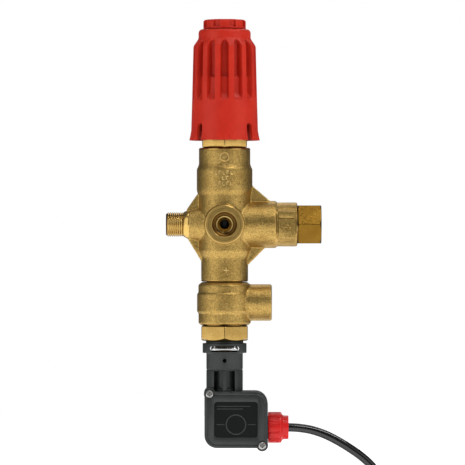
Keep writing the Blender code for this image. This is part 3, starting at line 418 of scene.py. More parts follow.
def fillet(profile, radius=0.0003, pieces=3):
    """Round every inner corner of a (radius, height) profile that is not on the axis."""
    result = [profile[0]]
    for before, corner, after in zip(profile, profile[1:], profile[2:]):
        a, b, c = Vector(before), Vector(corner), Vector(after)
        to_a, to_c = a - b, c - b
        room = min(to_a.length, to_c.length) * 0.45
        if corner[0] < 1e-9 or room < 1e-6:
            result.append(corner)
            continue
        reach = min(radius, room)
        start, end = b + to_a.normalized() * reach, b + to_c.normalized() * reach
        for i in range(pieces + 1):
            t = i / pieces
            point = start.lerp(b, t).lerp(b.lerp(end, t), t)
            result.append((point.x, point.y))
    result.append(profile[-1])
    return result


def grid_faces(columns, count, rows):
    """The faces of a closed ring of columns, each of count points joined over its rows."""
    faces = []
    for i in range(columns):
        j = (i + 1) % columns
        for k in range(rows):
            m = (k + 1) % count
            faces.append((i * count + k, i * count + m, j * count + m, j * count + k))
    return faces


def lathe(name, profile, steps=128, turn=ALONG_Z, place=AXIS, radial=None):
    """A turned mesh. The profile of (radius, height) runs down the outer side; one that
    doesn't start on the axis is closed to a ring. radial(angle, radius, height) may change
    a point's radius."""
    on_axis = profile[0][0] < 1e-9
    inner = profile[1:-1] if on_axis else profile
    vertices = []
    for i in range(steps):
        angle = 2 * math.pi * i / steps
        for radius, height in inner:
            r = radial(angle, radius, height) if radial else radius
            vertices.append(Vector((r * math.cos(angle), r * math.sin(angle), height)))
    count = len(inner)
    faces = grid_faces(steps, count, count - 1 if on_axis else count)
    if on_axis:
        top, bottom = len(vertices), len(vertices) + 1
        vertices += [Vector((0, 0, profile[0][1])), Vector((0, 0, profile[-1][1]))]
        for i in range(steps):
            j = (i + 1) % steps
            faces.append((top, i * count, j * count))
            faces.append((bottom, j * count + count - 1, i * count + count - 1))
    moved = [turn @ v + Vector(place) for v in vertices]
    return mesh_of(name, moved, faces)


def stepped_prism(name, sections, place=AXIS):
    """A closed solid through matching outlines, given as (outline, y) from front to back."""
    count = len(sections[0][0])
    vertices = [Vector((x, y, z)) + Vector(place) for outline, y in sections
                for x, z in outline]
    faces = [tuple(range(count)), tuple(reversed(range(len(vertices) - count, len(vertices))))]
    for row in range(len(sections) - 1):
        for i in range(count):
            j = (i + 1) % count
            a, b = row * count, (row + 1) * count
            faces.append((a + i, b + i, b + j, a + j))
    mesh = mesh_of(name, vertices, faces)
    work = bmesh.new()
    work.from_mesh(mesh)
    bmesh.ops.recalc_face_normals(work, faces=work.faces)
    work.to_mesh(mesh)
    work.free()
    return mesh


def rod(radius, low, high, steps, turn=ALONG_Z, place=AXIS):
    return lathe("rod", [(0.0, high), (radius, high), (radius, low), (0.0, low)], steps, turn,
                 place)


def rod_along_y(x, z, radius, front, back, steps=48):
    return rod(radius, -back, -front, steps, ALONG_MINUS_Y, AXIS + Vector((x, 0.0, z)))


def prism(name, outline, front, back, place=AXIS):
    """A closed prism of an (x, z) outline between y = front and y = back."""
    return stepped_prism(name, [(outline, front), (outline, back)], place)


def box_mesh(name, low, high, place=AXIS):
    return prism(name, [(low[0], low[2]), (high[0], low[2]), (high[0], high[2]),
                        (low[0], high[2])], low[1], high[1], place)


def hex_mesh(name, across_flats, low, high, turn=ALONG_Z, place=AXIS):
    """A six-sided bar along local Z with one edge at the front."""
    radius = across_flats / math.sqrt(3)
    angles = [math.radians(-90 + 60 * i) for i in range(6)]
    vertices = [Vector((radius * math.cos(a), radius * math.sin(a), z))
                for z in (low, high) for a in angles]
    faces = [tuple(reversed(range(6))), tuple(range(6, 12))]
    faces += [(i, (i + 1) % 6, (i + 1) % 6 + 6, i + 6) for i in range(6)]
    return mesh_of(name, [turn @ v + Vector(place) for v in vertices], faces)


def turned_about_axis(mesh, angle, place=AXIS):
    shift = Matrix.Translation(place)
    mesh.transform(shift @ Matrix.Rotation(angle, 4, "Z") @ shift.inverted())
    return mesh


def baked(mesh, steps):
    """The mesh after the given modifiers, as a new mesh."""
    item = bpy.data.objects.new("work", mesh)
    bpy.context.scene.collection.objects.link(item)
    helpers = []
    for kind, settings in steps:
        modifier = item.modifiers.new(kind.lower(), kind)
        for key, value in settings.items():
            if key == "tool":
                helper = bpy.data.objects.new("tool", value)
                bpy.context.scene.collection.objects.link(helper)
                helpers.append(helper)
                modifier.object = helper
            else:
                setattr(modifier, key, value)
    bpy.context.view_layer.update()
    graph = bpy.context.evaluated_depsgraph_get()
    result = bpy.data.meshes.new_from_object(item.evaluated_get(graph))
    result.name = mesh.name
    for used in [item] + helpers:
        bpy.data.objects.remove(used, do_unlink=True)
    return result


def combine(mesh, tools, operation="DIFFERENCE", solver="EXACT"):
    return baked(mesh, [("BOOLEAN", {"operation": operation, "solver": solver, "tool": tool})
                        for tool in tools])


def joined(name, meshes):
    """Several meshes as the shells of one, for a remesh or for a group of loose pieces."""
    work = bmesh.new()
    for mesh in meshes:
        work.from_mesh(mesh)
    result = bpy.data.meshes.new(name)
    work.to_mesh(result)
    work.free()
    return result


def forged(name, shells, rounds):
    """Melt overlapping shells into one skin with soft inside corners, as a forging has."""
    return baked(joined(name, shells), [
        ("REMESH", {"mode": "VOXEL", "voxel_size": FORGING_VOXEL, "use_smooth_shade": True}),
        ("SMOOTH", {"factor": 0.5, "iterations": rounds})])


def bevelled(mesh, width, segments=3, angle=35.0):
    return baked(mesh, [("BEVEL", {"width": width, "segments": segments,
                                   "limit_method": "ANGLE",
                                   "angle_limit": math.radians(angle),
                                   "harden_normals": False})])


def place_piece(item, body, slot_name, *nodes):
    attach(item, body)
    if nodes:
        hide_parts(*nodes)
    return item


def piece(name, mesh, finish, body, slot_name, *nodes, angle=34.0):
    return place_piece(link(name, mesh, finish, angle), body, slot_name, *nodes)


def smooth_step(x):
    x = min(1.0, max(0.0, x))
    return x * x * (3 - 2 * x)


def arc(centre, radius, start, end, count):
    x, z = centre
    angles = [math.radians(start + (end - start) * i / count) for i in range(count + 1)]
    return [(x + radius * math.cos(a), z + radius * math.sin(a)) for a in angles]


def rounded_box(name, low, high, radius, front, back, count=6):
    (x0, z0), (x1, z1) = low, high
    outline = (arc((x1 - radius, z1 - radius), radius, 0, 90, count)
               + arc((x0 + radius, z1 - radius), radius, 90, 180, count)
               + arc((x0 + radius, z0 + radius), radius, 180, 270, count)
               + arc((x1 - radius, z0 + radius), radius, 270, 360, count))
    return prism(name, outline, front, back)


def thread_ridges(radius, start, end, pitch, depth, inward=False):
    """Profile points of thread crests from start down to end, as (radius, height)."""
    points = []
    count = int((start - end) / pitch)
    sign = -1.0 if inward else 1.0
    for i in range(count):
        top = start - i * pitch
        for share, height in ((0.06, 0.0), (0.42, 1.0), (0.58, 1.0), (0.94, 0.0)):
            points.append((radius - depth * sign * (1.0 - height), top - share * pitch))
    return points


# ---- the cable ----
CABLE_R = 0.00295
COIL_CENTRE = Vector(((COIL_LOW.x + COIL_HIGH.x) / 2, (COIL_LOW.y + COIL_HIGH.y) / 2, 0.0))
CABLE_FLOOR = COIL_LOW.z + CABLE_R
CABLE_ROUTE = [
    (0.0247, 0.0, -0.1386), (0.0300, 0.0, -0.1386), (0.0370, 0.0, -0.1386),
    (0.0436, 0.0, -0.1386), (0.0510, 0.0, -0.1390), (0.0594, 0.0, -0.1404),
    (0.0684, 0.0, -0.1434), (0.0772, 0.0, -0.1478), (0.0862, 0.0, -0.1533),
    (0.0946, 0.0, -0.1594), (0.1016, 0.0, -0.1663), (0.1064, 0.0, -0.1745),
    (0.1089, 0.0, -0.1838), (0.1094, 0.0, -0.1939), (0.1094, 0.0021, -0.2042),
    (0.1094, 0.0079, -0.2130), (0.1094, 0.0167, -0.2188), (0.1094, 0.0270, CABLE_FLOOR),
    (0.1094, 0.0326, CABLE_FLOOR)]
LAYER_TURNS = 2.5
COIL_TURNS = 5.325
COIL_FIRST_R = 0.0405
COIL_LAST_R = 0.0250


def coil_points():
    """Down the spiral of the bottom layer to the hole, up one layer, and out again."""
    points = []
    approach = 0.0475
    per_turn = 40
    lead_in = 0.16
    for i in range(1, round(COIL_TURNS * per_turn) + 1):
        turn = i / per_turn
        angle = 2 * math.pi * turn
        if turn <= LAYER_TURNS:
            radius = COIL_FIRST_R + (COIL_LAST_R - COIL_FIRST_R) * turn / LAYER_TURNS
        else:
            share = (turn - LAYER_TURNS) / LAYER_TURNS
            radius = COIL_LAST_R + (COIL_FIRST_R - COIL_LAST_R) * share
        if turn < lead_in:
            ease = smooth_step(turn / lead_in)
            radius = approach * (1 - ease) + radius * ease
        radius += 0.0057 * smooth_step((turn - COIL_TURNS) / 0.30 + 1.0)
        climb = smooth_step((turn - LAYER_TURNS + 0.10) / 0.20)
        height = CABLE_FLOOR + climb * 2 * CABLE_R * 1.02
        points.append(COIL_CENTRE + Vector((radius * math.cos(angle), radius * math.sin(angle),
                                            height)))
    return points


def smooth_points(points, per_span=6):
    ends = [points[0]] + list(points) + [points[-1]]
    result = []
    for a, b, c, d in zip(ends, ends[1:], ends[2:], ends[3:]):
        for i in range(per_span):
            t = i / per_span
            result.append(0.5 * (2 * b + (c - a) * t + (2 * a - 5 * b + 4 * c - d) * t * t
                                 + (3 * b - a - 3 * c + d) * t ** 3))
    result.append(points[-1])
    return result


def tube_curve(name, points, radius, finish, resolution=6):
    curve = bpy.data.curves.new(name, "CURVE")
    curve.dimensions = "3D"
    curve.bevel_depth = radius
    curve.bevel_resolution = resolution
    curve.use_fill_caps = True
    spline = curve.splines.new("POLY")
    spline.points.add(len(points) - 1)
    for point, place in zip(spline.points, points):
        point.co = (*place, 1.0)
    spline.use_smooth = True
    curve.materials.append(finish)
    item = bpy.data.objects.new(name, curve)
    bpy.context.scene.collection.objects.link(item)
    return item


def make_cable(tie):
    hanging = smooth_points([AXIS + Vector(p) for p in CABLE_ROUTE])
    item = tube_curve("cable_lead", hanging + coil_points(), CABLE_R, SHEATH)
    place_piece(item, "switch", "cable_sheath", "cable", "cable_coil")


make_studio()


# ---- the forged valve body ----
def bead(points, radius, resolution=2):
    """A thin round line, as a mesh."""
    item = tube_curve("bead", points, radius, FORGED, resolution)
    bpy.context.view_layer.update()
    graph = bpy.context.evaluated_depsgraph_get()
    mesh = bpy.data.meshes.new_from_object(item.evaluated_get(graph))
    bpy.data.objects.remove(item, do_unlink=True)
    return mesh


def on_cylinder(radius, x, z):
    return AXIS + Vector((x, -math.sqrt(radius * radius - x * x), z))


def forging_marks():
    """Raised marks left by the die: a ring, rows of plain dashes and a cross."""
    ring_z, ring_r, line, thin = 0.0459, 0.0029, 0.00042, 0.00038
    marks = [bead([on_cylinder(COLLAR_R, ring_r * math.cos(a), ring_z + ring_r * math.sin(a))
                   for a in [2 * math.pi * i / 40 for i in range(41)]], line)]
    marks.append(bead([on_cylinder(COLLAR_R, x, ring_z) for x in (-0.0015, 0.0015)], line))
    rows = ((0.0352, (-0.0062, -0.0036, -0.0010, 0.0016, 0.0042)),
            (0.0315, (-0.0014, 0.0012)),
            (0.0278, (-0.0064, -0.0038, -0.0012, 0.0014, 0.0040)))
    tall = 0.0011
    for z, places in rows:
        for i, x in enumerate(places):
            marks.append(bead([on_cylinder(NECK_R, x, z - tall), on_cylinder(NECK_R, x, z + tall)],
                              thin))
            lean = tall * (1 if i % 2 else -1)
            marks.append(bead([on_cylinder(NECK_R, x, z + lean),
                               on_cylinder(NECK_R, x + 0.0014, z + lean)], thin))
    cross_z = -0.0312
    for dx, dz in ((0.0016, 0.0), (0.0, 0.0018)):
        marks.append(bead([on_cylinder(LOWER_R, 0.0012 - dx, cross_z - dz),
                           on_cylinder(LOWER_R, 0.0012 + dx, cross_z + dz)], line))
    return marks


def wrench_panel():
    """The flat panel pressed into the block's front and back, with a flow arrow."""
    left, right, low, high, line_z = 0.0368, 0.0480, -0.0092, 0.0090, 0.0040
    pieces = []
    for side in (-1, 1):
        face = side * BLOCK_HALF
        lift = side * 0.0009
        near, far = sorted((face - side * 0.0004, face + lift))
        for z0, z1 in ((low, line_z - 0.0005), (line_z + 0.0005, high)):
            pieces.append(bevelled(rounded_box("panel", (left, z0), (right, z1), 0.0008, near,
                                               far, 5), 0.0003, 2))
        top = face + lift
        shaft = [AXIS + Vector((x, top, -0.0022)) for x in (left + 0.0030, right - 0.0030)]
        tip = shaft[1]
        pieces.append(bead(shaft, 0.00042))
        for dz in (-0.0020, 0.0020):
            pieces.append(bead([tip, tip + Vector((-0.0024, 0.0, dz))], 0.00042))
    return pieces


def valve_body():
    inlet = -AXIS_X
    arm_end = 0.0353
    block_end = 0.0495
    trunk = lathe("trunk", [
        (0.0, 0.0515), (0.0170, 0.0515), (COLLAR_R, 0.0510), (COLLAR_R, 0.0412),
        (0.0182, 0.0392), (NECK_R, 0.0376), (NECK_R, 0.0240), (0.0188, 0.0222),
        (0.0180, 0.0205), (0.0179, -0.0180), (0.0172, -0.0203), (0.0162, -0.0222),
        (LOWER_R, -0.0240), (LOWER_R, -0.0379), (0.0, -0.0379)], 160)
    arm = lathe("arm", [
        (0.0, arm_end), (0.0155, arm_end), (0.0161, arm_end - 0.0006), (0.0161, 0.0),
        (0.0, 0.0)], 128, ALONG_X)
    block = lathe("block", [
        (0.0, block_end), (0.0146, block_end), (0.0150, block_end - 0.0004), (0.0150, 0.0300),
        (0.0, 0.0300)], 128, ALONG_X)
    slab = box_mesh("slab", (0.0290, -BLOCK_HALF, -0.0160), (0.0520, BLOCK_HALF, 0.0160))
    block = combine(block, [slab], "INTERSECT")
    pad = box_mesh("pad", (0.0362, -BLOCK_HALF, -0.00935), (0.0483, BLOCK_HALF, 0.00935))
    inlet_arm = lathe("inlet_arm", mm(
        (0, -8), (14.2, -8), (10.3, -24.4), (0, -24.4)), 96, ALONG_X)
    front = lathe("front", mm(
        (0, 23.8), (13.4, 23.8), (13.8, 0), (0, 0)), 128, ALONG_MINUS_Y)
    rear = lathe("rear", mm(
        (0, 0), (11.2, 0), (11, -20), (9.8, -21), (0, -21)), 96,
        ALONG_MINUS_Y)
    webs = prism("webs", mm(
        (-25.9, 10.1), (-19, 20.1), (-10, 26.2), (18.2, 27), (31, 16), (31, -13), (27.6, -16),
        (16.3, -27.3), (-15.8, -25.2), (-25.4, -9.4)), -0.0044, 0.0044)
    skin = forged("valve_body_forging", [trunk, arm, block, pad, inlet_arm, front, rear, webs],
                  6)
    bores = [
        lathe("bore", mm((0, 54), (14.2, 54), (14.2, 36), (12, 36), (12, 22), (9, 22), (9, -21.5),
                         (12.4, -21.5), (12.4, -41), (0, -41)), 96),
        lathe("bore", mm((0, 52), (11, 52), (11, 18.5), (6.5, 18.5), (6.5, 0),
                         (0, 0)), 96, ALONG_X),
        rod(0.0055, -0.0260, 0.0, 64, ALONG_X),
        lathe("bore", mm((0, 27), (17, 27), (17, 22.6), (12.2, 22.6), (12.2, 11), (2.8, 8.5),
                         (2.8, 0), (0, 0)), 128,
              ALONG_MINUS_Y)]
    skin = combine(skin, bores, "DIFFERENCE", "MANIFOLD")
    skin = joined("valve_body_forging", [skin] + wrench_panel())
    piece("valve_body_forging", skin, FORGED, "valve", "forged_brass", "valve_body", angle=50)

    # The raised marks in the brightened brass: a painted highlight.
    piece("forging_marks", joined("forging_marks", forging_marks()), HIGHLIGHT_BRASS, "valve",
          "forged_brass", angle=60)

    # machined faces: top ring, lower band, inlet thread and neck, front port, outlet face
    def turned(name, profile, finish, steps=128, turn=ALONG_Z, angle=34.0):
        piece(name, lathe(name, profile, steps, turn), finish, "valve", "machined_brass",
              angle=angle)

    turned("body_top_land", fillet(mm(
        (16.9, 52.2), (17.5, 51.6), (17.5, 50.8), (14.3, 50.8), (14.3, 52.2)), 0.0001), TURNED_Z)
    turned("body_lower_land", fillet(mm(
        (16, -37.8), (16, -38.4), (15.4, -39), (12.5, -39), (12.5, -37.8)), 0.0001), TURNED_Z)
    crests = thread_ridges(0.00833, -0.0284, -0.0393, THREAD_PITCH, 0.00078)
    turned("inlet_thread", mm((10, -24.2), (10, -24.8), (8.4, -27.8)) + crests + [
        (0.00755, -0.0393), (0.0071, inlet), (0.0060, inlet), (0.0055, inlet + 0.0006),
        (0.0055, -0.0242)], THREAD_X, 128, ALONG_X, 60)
    turned("front_rim", mm(
        (11, 24), (12.5, 24), (13.1, 23.7), (13.3, 23.3), (13.3, 22.7), (12.1, 22.4), (8.4, 22.4),
        (8.4, 23.6), (8.8, 24), (9.6, 24), (9.7, 23.9), (9.8, 24), (10.7, 24),
        (10.8, 23.8)), TURNED_Y, 160, ALONG_MINUS_Y, 20)
    way_in = [(0.0084, 0.0234), (0.0080, 0.0230)]
    for i in range(7):
        radius, depth = 0.0079 - 0.00024 * i, 0.0228 - THREAD_PITCH * i
        way_in += [(radius, depth), (radius - 0.0007, depth - 0.0005),
                   (radius - 0.0008, depth - 0.0008), (radius - 0.0001, depth - 0.0012)]
    way_in += mm((5.8, 13), (5, 12.6), (4.7, 11.8), (3.3, 10.4), (2.9, 9.8), (2.9, 8.6),
                 (12.1, 11.1), (12.1, 22.5))
    turned("front_port", way_in[::-1], THREAD_Y, 160, ALONG_MINUS_Y, 30)
    # The seat's chamfer in the brightened brass: a painted highlight.
    turned("front_port_seat", mm(
        (3.4, 10.2), (5.9, 12.8), (5.7, 13.2), (5, 12.9), (4.6, 12),
        (3.4, 10.8)), HIGHLIGHT_BRASS, 96, ALONG_MINUS_Y, 30)
    turned("outlet_arm_land", fillet(mm(
        (13.7, 49.7), (14, 49.5), (14, 49.1), (11.1, 49.1),
        (11.1, 49.7)), 0.0001), TURNED_X, 128, ALONG_X)


def cut_hex(name, across_flats, low, high, blank, turn=ALONG_Z, place=AXIS, tools=(),
            edge=0.0005):
    """A hexagon with rounded edges, its ends turned down by a blank, then bored."""
    bar = bevelled(hex_mesh(name, across_flats, low, high, turn, place), edge, 4)
    bar = combine(bar, [lathe("blank", blank, 128, turn, place)], "INTERSECT")
    return combine(bar, tools) if tools else bar


def bonnet():
    across = 0.0305
    corner = across / math.sqrt(3) + 0.0003
    low, high = 0.0525, 0.0620
    tube = lathe("tube", fillet(mm(
        (14.2, 96), (14.2, 52.2), (13.8, 51.8), (13.8, 36.3), (11.5, 36.3), (11.5, 88), (6.3, 88),
        (6.3, 96)), 0.0002), 96)
    bore = rod(0.0130, 0.0500, 0.0640, 96)
    collar = cut_hex("hex", across, low, high, [
        (0.0, high), (0.0160, high), (corner, high - 0.0010), (corner, low + 0.0004),
        (0.0172, low), (0.0, low)], tools=[bore], edge=0.0008)
    piece("bonnet", joined("bonnet", [tube, collar]), TURNED_Z, "valve", "machined_brass",
          "spring_housing")


# ---- the red knob ----
RIBS = 14
RIB_HALF = 0.0020
KNOB_SLOT_HALF = 0.0025
KNOB_SLOTS = (-138, -42, 90)
GROOVE_TOP = 0.1257
ARCH = 0.0042


def between(x, points):
    """Straight-line interpolation through (x, y) points."""
    for (x0, y0), (x1, y1) in zip(points, points[1:]):
        if x <= x1:
            return y0 + (y1 - y0) * max(0.0, (x - x0) / (x1 - x0))
    return points[-1][1]


def knob_skin(angle, height):
    """The knob's outer radius: a flared skirt, and flutes with arched tops and a ledge."""
    envelope = between(height, mm(
        (57.4, 24.1), (59, 23.7), (64, 22.8), (84.3, 22.2), (121, 21.3), (122.2, 20.9),
        (126.2, 18.2), (127.5, 17.8), (130.8, 17.8), (131.8, 17.5), (132.6, 16.9), (133, 16.3)))
    floor = between(height, mm(
        (83.8, 23.2), (84.8, 21.9), (86, 20.6), (88.8, 18.85), (90, 18.6), (99.4, 18.45),
        (100.4, 18.2), (101.2, 16.8), (124, 16.7)))
    spacing = 2 * math.pi / RIBS
    across = ((angle + math.pi / 2) / spacing + 0.5) % 1.0 - 0.5
    aside = abs(across) * spacing * envelope
    half = spacing * envelope / 2 - RIB_HALF
    rise = max(0.0, height - (GROOVE_TOP - ARCH)) / ARCH
    inside = half - math.hypot(aside, rise * half)
    depth = smooth_step(inside / 0.00105 + 0.25)
    return envelope - depth * max(0.0, envelope - floor)


def adjusting_knob():
    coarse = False
    spacing = 2 * math.pi / RIBS
    shares = [0.0, 0.10, 0.17, 0.21, 0.24, 0.27, 0.295, 0.32, 0.345, 0.37, 0.40, 0.45]
    if coarse:
        shares = [0.0, 0.17, 0.24, 0.295, 0.345, 0.40]
    shares = [-s for s in reversed(shares[1:])] + shares + [0.5]
    angles = [-math.pi / 2 + (i + share) * spacing for i in range(RIBS) for share in shares]
    heights = []
    for low, high, count in ((0.0574, 0.0600, 4), (0.0600, 0.0640, 3), (0.0640, 0.0840, 6),
                             (0.0840, 0.0905, 14), (0.0905, 0.0990, 4), (0.0990, 0.1016, 9),
                             (0.1016, 0.1195, 5), (0.1195, 0.1330, 40)):
        heights += [low + (high - low) * i / count for i in range(count)]
    heights = [0.1330] + heights[::-1]
    inner = fillet(mm((23.5, 57.2), (21.9, 57.4), (20.6, 64), (20, 82), (14.8, 86), (14.8, 112.3),
                      (6.4, 112.3), (6.4, 122.5), (11.2, 122.5), (11.2, 133),
                      (15, 133)), 0.0004)[1:-1]
    vertices = []
    for angle in angles:
        column = [(knob_skin(angle, z), z) for z in heights] + inner
        vertices += [AXIS + Vector((r * math.cos(angle), r * math.sin(angle), z))
                     for r, z in column]
    count = len(heights) + len(inner)
    skin = mesh_of("adjusting_knob_skin", vertices, grid_faces(len(angles), count, count))
    slots = []
    for degrees in KNOB_SLOTS:
        slot = prism("slot", [(-KNOB_SLOT_HALF, 0.0560)] + [
            (x, z) for x, z in arc((0.0, 0.0690 - KNOB_SLOT_HALF), KNOB_SLOT_HALF, 180, 0, 12)]
            + [(KNOB_SLOT_HALF, 0.0560)], -0.0275, -0.0165)
        slots.append(turned_about_axis(slot, math.radians(degrees + 90)))
    skin = combine(skin, slots, "DIFFERENCE", "MANIFOLD")
    piece("adjusting_knob_skin", skin, KNOB_RED, "knob", "knob_red", "adjusting_knob", angle=50)


def knob_cap():
    notches = 8

    def scallop(angle, radius, height):
        if radius < 0.0112:
            return radius
        across = ((angle + math.pi / 2) / (2 * math.pi / notches)) % 1.0 - 0.5
        aside = abs(across) * 2 * math.pi / notches * 0.0145
        dip = smooth_step((0.0024 - aside) / 0.0003) * smooth_step((height - 0.1345) / 0.0006)
        return min(radius, radius - dip * max(0.0, radius - 0.0127))

    levels = [0.1358, 0.1353, 0.1350, 0.1347, 0.1344, 0.1340]
    profile = ([(0.0, 0.1397), (0.0060, 0.1397)]
               + [(0.0128 + 0.0017 * math.sin(math.radians(a)),
                   0.1380 + 0.0017 * math.cos(math.radians(a))) for a in range(0, 91, 10)]
               + [(0.0145, z) for z in levels]
               + mm((14.5, 133.5), (14.3, 133.3), (10.9, 133.3), (10.9, 129), (0, 129)))
    skin = lathe("knob_cap_skin", profile, 384, radial=scallop)
    piece("knob_cap_skin", skin, KNOB_RED, "knob", "knob_red", "knob_cap", angle=50)


# ---- the outlet fitting, the by-pass banjo and its screw ----
def port_cutter(radius, mouth, face, start, end, rest, turn, place):
    """A threaded hole with a chamfered mouth; rest continues it down to the axis."""
    inside = face - (mouth - radius)
    profile = [(0.0, face + 0.0012), (mouth + 0.0012, face + 0.0012), (mouth, face),
               (radius, inside)]
    profile += thread_ridges(radius, start, end, THREAD_PITCH, 0.0007, True)
    profile += rest
    return lathe("port", profile, 96, turn, place)


def outlet_fitting():
    across = 0.0259
    corner = across / math.sqrt(3) + 0.0003
    low, high = 0.0498, 0.0660
    way = port_cutter(0.0076, 0.0094, high, 0.0640, 0.0545, mm(
        (7.6, 54), (5.5, 52.5), (5.5, 36), (0, 36)), ALONG_X, AXIS)
    head = cut_hex("hex", across, low, high, [
        (0.0, high), (0.0127, high), (corner, high - 0.0014), (corner, 0.0510),
        (0.0133, low), (0.0, low)], ALONG_X, AXIS, [way])
    tube = lathe("tube", fillet(mm(
        (10.7, 50), (10.7, 48.2), (9.2, 48.2), (9.2, 46), (10.7, 46), (10.7, 38), (5.5, 38),
        (5.5, 50)), 0.0002),
        96, ALONG_X)
    piece("outlet_hex", joined("outlet_hex", [head, tube]), HEX_BRASS, "valve", "machined_brass",
          "outlet_fitting")


def bypass_banjo():
    port_z = -0.0533
    ring = lathe("ring", mm(
        (0, -39.3), (15.4, -39.3), (17.9, -41.3), (17.9, -46.6), (18.8, -47.4), (18.8, -59.6),
        (17.8, -60.4), (17.8, -67.3), (15.5, -69.1), (0, -69.1)), 160)
    port = lathe("port", mm(
        (0, 32.2), (11.6, 32.2), (12.45, 31.4), (12.45, 0), (0, 0)), 128,
        ALONG_X, AXIS + Vector((0.0, 0.0, port_z)))
    skin = forged("bypass_banjo_skin", [ring, port], 4)
    bore = lathe("bore", mm(
        (0, -38), (13.4, -38), (12.4, -40), (12.4, -47.5), (14.2, -48.5), (14.2, -58.5),
        (12.4, -59.5), (12.4, -68.4), (13.4, -70), (0, -70)), 96)
    way = port_cutter(0.0075, 0.0094, 0.0322, 0.0300, 0.0205, mm(
        (7.5, 20), (6, 18.5), (6, 5), (0, 5)), ALONG_X,
        AXIS + Vector((0.0, 0.0, port_z)))
    skin = combine(skin, [bore, way], "DIFFERENCE", "MANIFOLD")
    piece("bypass_banjo_skin", skin, FORGED, "banjo", "forged_brass", "bypass_banjo", angle=50)


def banjo_screw():
    across = 0.0316
    corner = across / math.sqrt(3) + 0.0003
    low, high = -0.0793, -0.0694
    shank = lathe("shank", fillet(mm(
        (7, -28.5), (12, -28.5), (12, -42.6), (10.4, -42.6), (10.4, -45), (12, -45), (12, -47.5),
        (8.8, -48.5), (8.8, -58.5), (12, -59.5), (12, -62.2), (10.4, -62.2), (10.4, -64.6),
        (12, -64.6), (12, -72), (9.5, -75), (9.5, -83.3), (6.6, -83.3), (6.6, -86.3), (9.5, -86.3),
        (9.5, -90.3), (8.7, -91.1), (3.2, -91.1), (3.2, -74.5), (2, -74), (2, -64),
        (7, -60)), 0.00012, 2), 96)
    bore = rod(0.0090, -0.0850, -0.0600, 64)
    head = cut_hex("hex", across, low, high, [
        (0.0, high), (0.0175, high), (corner, high - 0.0004), (corner, low + 0.0022),
        (0.0150, low), (0.0, low)], tools=[bore])
    piece("banjo_screw_skin", joined("banjo_screw_skin", [shank, head]), TURNED_Z, "valve",
          "machined_brass", "banjo_screw")


# ---- the pressure switch ----
BOX_LEFT, BOX_RIGHT = -0.0137, 0.0294
BOX_FOOT, BOX_TOP = -0.1520, -0.1137
BOX_CORNER = 0.0085
BOX_FRONT, BOX_BACK = -0.0116, 0.0135
LUG_R = 0.0040
LUGS = ((-0.0101, -0.1152), (0.0256, -0.1502))
LID_BACK, LID_FRONT = -0.0128, -0.0148
PANEL = (-0.0071, 0.0226, -0.1448, -0.1205)


def box_outline(inset, lugs=True, count=10):
    """The box's rounded outline, with a round screw lug at two opposite corners."""
    left, right = BOX_LEFT + inset, BOX_RIGHT - inset
    low, high = BOX_FOOT + inset, BOX_TOP - inset
    big, small = BOX_CORNER - inset, max(0.0030 - inset, 0.0008)
    upper = arc((left + small, high - small), small, 90, 180, count)
    lower = arc((right - small, low + small), small, 270, 360, count)
    if lugs:
        radius = LUG_R - inset
        (x1, z1), (x2, z2) = LUGS
        upper = arc((x1, z1), radius, math.degrees(math.asin((high - z1) / radius)),
                    360 - math.degrees(math.acos((left - x1) / radius)), 2 * count)
        lower = arc((x2, z2), radius, 180 - math.degrees(math.asin((low - z2) / radius)),
                    360 + math.degrees(math.acos((right - x2) / radius)), 2 * count)
    return (arc((right - big, high - big), big, 0, 90, count) + upper
            + arc((left + big, low + big), big, 180, 270, count) + lower)


